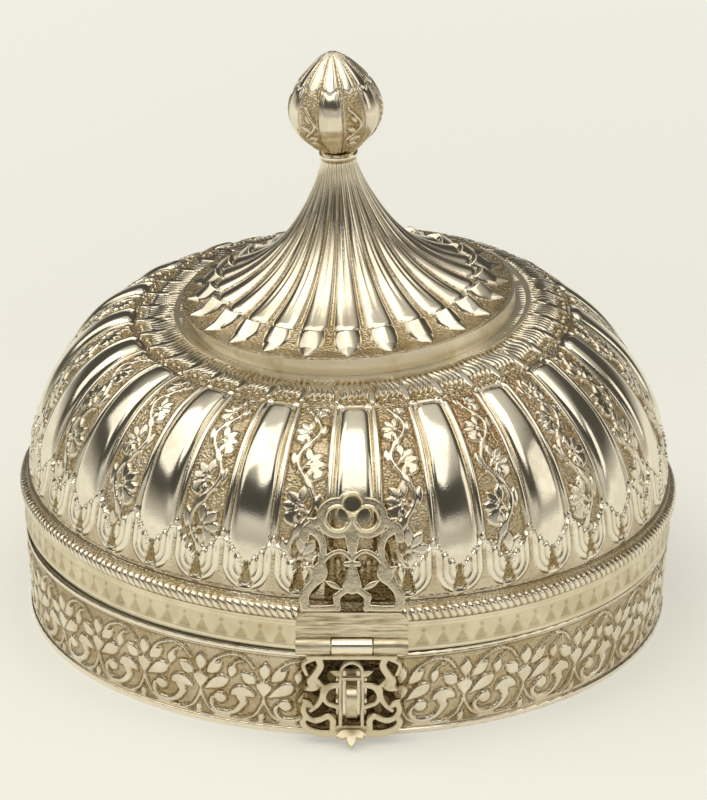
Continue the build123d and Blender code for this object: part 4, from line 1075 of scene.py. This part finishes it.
# %% Its lobes, pointed at the rim and creased down their middles
reach_up = ramp(along, 0.9, 0.9 + rib_start)
half_lobe = 0.41 * flute_width * np.sin(np.pi / 2 * np.clip(reach_up * 1.15, 0, 1))
lobe = np.minimum(half_lobe - np.abs(x), 0.2 - started)
aside = np.clip(np.abs(x) / np.maximum(half_lobe, 0.1), 0, 1)
crease = 0.4 * (1 - aside) + 0.6 * np.sqrt(1 - aside**2)
lobe_relief = 4.4 * reach_up**0.9 * crease * rounded(0.4 - started, 1.2)
skirt_relief = np.maximum(ribs, lobe_relief) + hand(angle, along, 0.1, 11)
groove = hump(np.abs(flute) - rib_half - 0.01, 0.035) * rounded(started, 1.0)
raised = rounded(np.maximum(started, lobe), 0.6)
skirt_worn = np.clip(0.22 + 0.6 * raised - 0.7 * groove - 0.35 * valley, 0, 1)
print("lobes up to", lobe_relief.max().round(2), "mm")

# %% The skirt's skin
# The relief goes out along the profile's normal, smoothed over 2.5 mm so that rows never cross.
profile = np.stack([np.gradient(height), -np.gradient(radius)], -1)
profile = profile / np.linalg.norm(profile, axis=-1, keepdims=True)
near = hump(along - along.T, 2.5) * np.gradient(along[:, 0])
push = near @ profile
push = push / np.linalg.norm(push, axis=-1, keepdims=True)
pushed_radius = radius[:, None] + push[:, :1] * skirt_relief
pushed_height = height[:, None] + push[:, 1:] * skirt_relief
worn_rim_radius = skirt_edge_radius - 0.25 + hand(angle, np.zeros((1, 1)), 0.5, 12)
outer = np.vstack([
    around(spire_frame, worn_rim_radius, collar_height, angle),
    around(spire_frame, pushed_radius, pushed_height, angle),
    around(spire_frame, [[rod_hole]], neck_height, angle),
])
end_worn = np.full((1, len(angle)), 0.6)
skirt_worn = np.vstack([end_worn, skirt_worn, end_worn])
hollow_share = np.array([0.75, 0.54, 0.36, 0.22, 0.12, 0.06, 0.025, 0.0])
hollow_radius = cone_radius(hollow_share) * 0.89 - 0.9
hollow_height = skirt_height(hollow_share) - 0.9
inner_radius = np.concatenate([[rod_hole], hollow_radius, [skirt_edge_radius - 2]])[:, None]
inner_height = np.concatenate([[hollow_height[0]], hollow_height, [collar_height]])[:, None]
inner = around(spire_frame, inner_radius, inner_height, angle)
add_ring("fluted_skirt", outer, skirt_worn, inner, "lid", "spire_skirt", chased_silver)

# %% [markdown]
# ## The bud on top
#
# The finial is a closed lotus bud. Six plain panels stand between six chased ones, twelve long
# petals meet at the tip, and a ring of small leaves holds it below. It could be a ball pressed
# into shape, but a ring of rows that closes at the tip keeps its grid along the petals.

# %% The bud
bud_columns, bud_rows, bud_closed = 336, 110, 0.985
bud_scrolls = [([(2.4, 8.5), (-1.5, 10), (-2.2, 13.5), (0.4, 16), (2.6, 19), (0.6, 22.5), (-1.4, 25)], 1.1)]
bud_leaves = [
    ((-1.6, 12.5), (2.6, 13.8), 2.3, 1.0, 0.7),
    ((-1.2, 11.2), (2.2, 9.4), 2.0, 1.0, 0.7),
    ((0.6, 16.2), (-2.7, 18.6), 2.3, 1.0, 0.7),
    ((1.2, 19.6), (-1.2, 22.4), 1.5, 1.0, 0.8),
]
angle = turns_of(bud_columns, -96.6 - 180 / bud_panels)
share = np.linspace(0, bud_closed, bud_rows)
radius = bud_radius * np.sin(np.pi * (0.03 + 0.97 * share) ** 0.83) ** 0.8
height = bud_bottom + bud_height * share
along = steps_along(height, radius)
bud_panel = np.mod(angle - angle[0], 360 / bud_panels) / (180 / bud_panels) - 1
bud_plain = np.mod(angle - angle[0], 720 / bud_panels) < 360 / bud_panels
bud_width = 2 * np.pi * radius[:, None] / bud_panels
x = bud_panel * bud_width / 2
edge = bud_width / 2 - np.abs(x)
petal = 1 - np.abs(bud_panel)
print("bud", bud_height, "mm high, in", bud_panels, "panels")

# %% Its panels, petals and leaves
tip_line = along[-1] - 14.5 - 2.2 * petal
inside = np.minimum(edge - 1.0, (tip_line - along) * 0.8)
ridge = hump(edge - 0.5, 0.28) * ramp(along, tip_line, tip_line - 1.0)
petals = 0.5 * rounded(petal * bud_width / 2, 0.9) - 0.3 * hump(petal - 0.45, 0.1)
petals = petals * ramp(along, tip_line, tip_line + 0.8)
scrolls = drawn(x, along, bud_scrolls, bud_leaves)
forms, forms_worn = chased(np.minimum(scrolls, inside), 0.5, 0.4, 0.14)
forms = np.where(inside > 0, forms, 0)
bud_relief = np.where(bud_plain, 0.55 * rounded(inside, 1.6), forms) + 0.4 * ridge + petals
leaf_x = np.mod(bud_panel + 1, 1) * bud_width / 2 - bud_width / 4
bud_relief = bud_relief + 0.4 * rounded(leaf(leaf_x, along, (0, 0.2), (0, 6.4), 4.2, 0.8, 0.7), 0.7)
bud_worn = np.where(bud_plain, 0.8, np.where(inside > 0, forms_worn, 0.5))
bud_worn = np.clip(bud_worn - 0.9 * hump(edge, 0.25), 0.05, 1)
bud_worn = np.where(along > tip_line, np.clip(0.25 + 1.2 * petal, 0, 1), bud_worn)
print("bud relief up to", bud_relief.max().round(2), "mm")

# %% The bud's skin
near_tip = ramp(along, along[-1], along[-1] - 4)
outer = around(spire_frame, radius[:, None], height[:, None], angle)
outer = outer + outward(outer) * (bud_relief * near_tip - 0.3)[..., None]
outer = np.vstack([outer, around(spire_frame, [[0.12]], height[-1], angle)])
bud_worn = np.vstack([bud_worn, np.full((1, bud_columns), 0.9)])
socket = np.array([
    [bud_bottom + bud_height - 0.5, 0.1],
    [bud_bottom + bud_height / 4, 0.1],
    [bud_bottom + bud_height / 4, rod_radius + 0.1],
    [bud_bottom, rod_radius + 0.1],
])
inner = around(spire_frame, socket[:, 1:], socket[:, :1], angle)
add_ring("lotus_bud", outer, bud_worn, inner, "lid", "finial_bud", chased_silver)

# %% [markdown]
# ## Floor, light and camera
#
# The box stands on a pale sheet that glows a little, so that it stays pale to its far end while
# the lamps stay low. Silver shows what it mirrors, so the light is three large softboxes and a
# soft sky, bright overhead and low down, with a dark belt between them that draws the dark
# patches in the plain panels. The camera looks down by 22 degrees through a long lens.

# %% The floor
def pale_sheet(name, colour, seen):
    """Matt paper that glows a little, and more away from the box, so that it stays pale to its end."""
    material, tree, shader = new_material(name)
    shader.inputs["Metallic"].default_value = 0.0
    shader.inputs["Roughness"].default_value = 0.9
    shader.inputs["Base Color"].default_value = linear(colour)
    shader.inputs["Emission Color"].default_value = linear(seen)
    place = add_node(tree, "ShaderNodeTexCoord").outputs["Object"]
    away = add_node(tree, "ShaderNodeVectorMath", {"operation": "LENGTH"}, {0: place}).outputs["Value"]
    glow = add_node(tree, "ShaderNodeMapRange", None, {
        "Value": away, "From Min": 0.3, "From Max": 1.4, "To Min": 0.4, "To Max": 0.64}).outputs[0]
    tree.links.new(glow, shader.inputs["Emission Strength"])
    return material


reach = 14.0
floor_corners = [(-reach, -reach, 0), (reach, -reach, 0), (reach, reach, 0), (-reach, reach, 0)]
floor_mesh = bpy.data.meshes.new("floor")
floor_mesh.from_pydata(floor_corners, [], [(0, 1, 2, 3)])
floor_mesh.materials.append(pale_sheet("pale_paper", "D4D3CA", "F0EFE7"))
floor = add_object("floor", floor_mesh)
print("floor", 2 * reach, "m across")


# %% The light
def stand(thing, right, up, back, place):
    """Puts a lamp or a camera at a place, with its own x, y and z axes along three directions."""
    matrix = np.eye(4)
    matrix[:3] = np.stack([right, up, back, place], -1)
    thing.matrix_world = Matrix(matrix.tolist())


def area_light(name, place, aim, size, power, colour):
    """An oblong soft lamp at a place, turned to an aim, with its power in watts."""
    lamp = bpy.data.lights.new(name, "AREA")
    lamp.shape = "RECTANGLE"
    lamp.size, lamp.size_y = size
    lamp.energy = power
    lamp.color = linear(colour)[:3]
    back = np.subtract(place, aim) / np.linalg.norm(np.subtract(place, aim))
    side = np.cross((0, 1, 0) if abs(back[2]) > 0.95 else (0, 0, 1), back)
    side = side / np.linalg.norm(side)
    stand(add_object(name, lamp), side, np.cross(back, side), back, place)


area_light("overhead_softbox", (0, -0.55, 1.5), (0, -0.1, 0.05), (1.6, 1.7), 7.6, "FFFDF8")
area_light("left_softbox", (-1.08, -0.05, 1.3), (0, 0, 0.08), (1.4, 1.4), 7.0, "FFFCF4")
area_light("right_softbox", (1.4, -0.3, 0.7), (0, 0, 0.08), (0.8, 0.9), 2.4, "FFFCF4")
print("three lamps")

# %% The sky
world = bpy.context.scene.world or bpy.data.worlds.new("room")
bpy.context.scene.world = world
world.use_nodes = True
tree = world.node_tree
tree.nodes.clear()
direction = add_node(tree, "ShaderNodeTexCoord").outputs["Generated"]
parts = add_node(tree, "ShaderNodeSeparateXYZ", None, {0: direction}).outputs


def sky(stops):
    """Brightness of the room from the horizon up: stops give the sine of the height and a grey."""
    ramp_node = add_node(tree, "ShaderNodeValToRGB", None, {"Fac": parts[2]})
    marks = ramp_node.color_ramp.elements
    marks.remove(marks[1])
    for number, (place, grey) in enumerate(stops):
        stop = marks[0] if number == 0 else marks.new(place)
        stop.position = place
        stop.color = (grey, grey * (0.94 + 0.05 * grey), grey * (0.8 + 0.16 * grey), 1)
    return ramp_node.outputs[0]


all_round = [(0, 0.6), (0.06, 0.5), (0.16, 0.2), (0.24, 0.08), (0.62, 0.08), (0.82, 0.6), (1, 0.75)]
toward_front = [(0, 0.45), (0.245, 0.74), (0.27, 0.4), (0.305, 0.07), (0.62, 0.06), (0.71, 0.7), (1, 0.7)]
in_front = add_node(tree, "ShaderNodeMapRange", {"interpolation_type": "SMOOTHSTEP"}, {
    "Value": parts[1], "From Min": -0.35, "From Max": -0.8}).outputs[0]
room = add_node(tree, "ShaderNodeMix", {"data_type": "RGBA"}, {
    "Factor": in_front, "A": sky(all_round), "B": sky(toward_front)}).outputs["Result"]
glow = add_node(tree, "ShaderNodeBackground", None, {"Color": room, "Strength": 1.0})
add_node(tree, "ShaderNodeOutputWorld", None, {"Surface": glow.outputs[0]})
print("lit")

# %% The camera
look_down, roll, yaw = np.radians(22.23), np.radians(0.4), np.radians(-0.8)
distance, aim_height = 1.0711, 0.06
aim_right, aim_up = 0.001704, 0.011825  # how far off its aim the picture's middle is, over the distance
right = np.array([1.0, 0.0, 0.0])
ahead = np.array([0, np.cos(look_down), -np.sin(look_down)])
over = np.array([0, np.sin(look_down), np.cos(look_down)])
view = ahead + aim_right * right + aim_up * over
view = view / np.linalg.norm(view)
image_right = np.cross(view, np.cos(roll) * over - np.sin(roll) * right)
image_right = image_right / np.linalg.norm(image_right)
image_up = np.cross(image_right, view)
place = np.array([0, 0, aim_height]) - ahead * distance
spin = np.array([[np.cos(yaw), -np.sin(yaw), 0], [np.sin(yaw), np.cos(yaw), 0], [0, 0, 1]])
lens = bpy.data.cameras.new("photo_camera")
lens.lens, lens.sensor_fit, lens.sensor_width, lens.sensor_height = 135, "AUTO", 36, 36
camera = add_object("photo_camera", lens)
stand(camera, *[spin @ part for part in (image_right, image_up, -view, place)])
bpy.context.scene.camera = camera
bpy.context.scene.view_settings.view_transform = "Standard"
print("camera at", place.round(3))
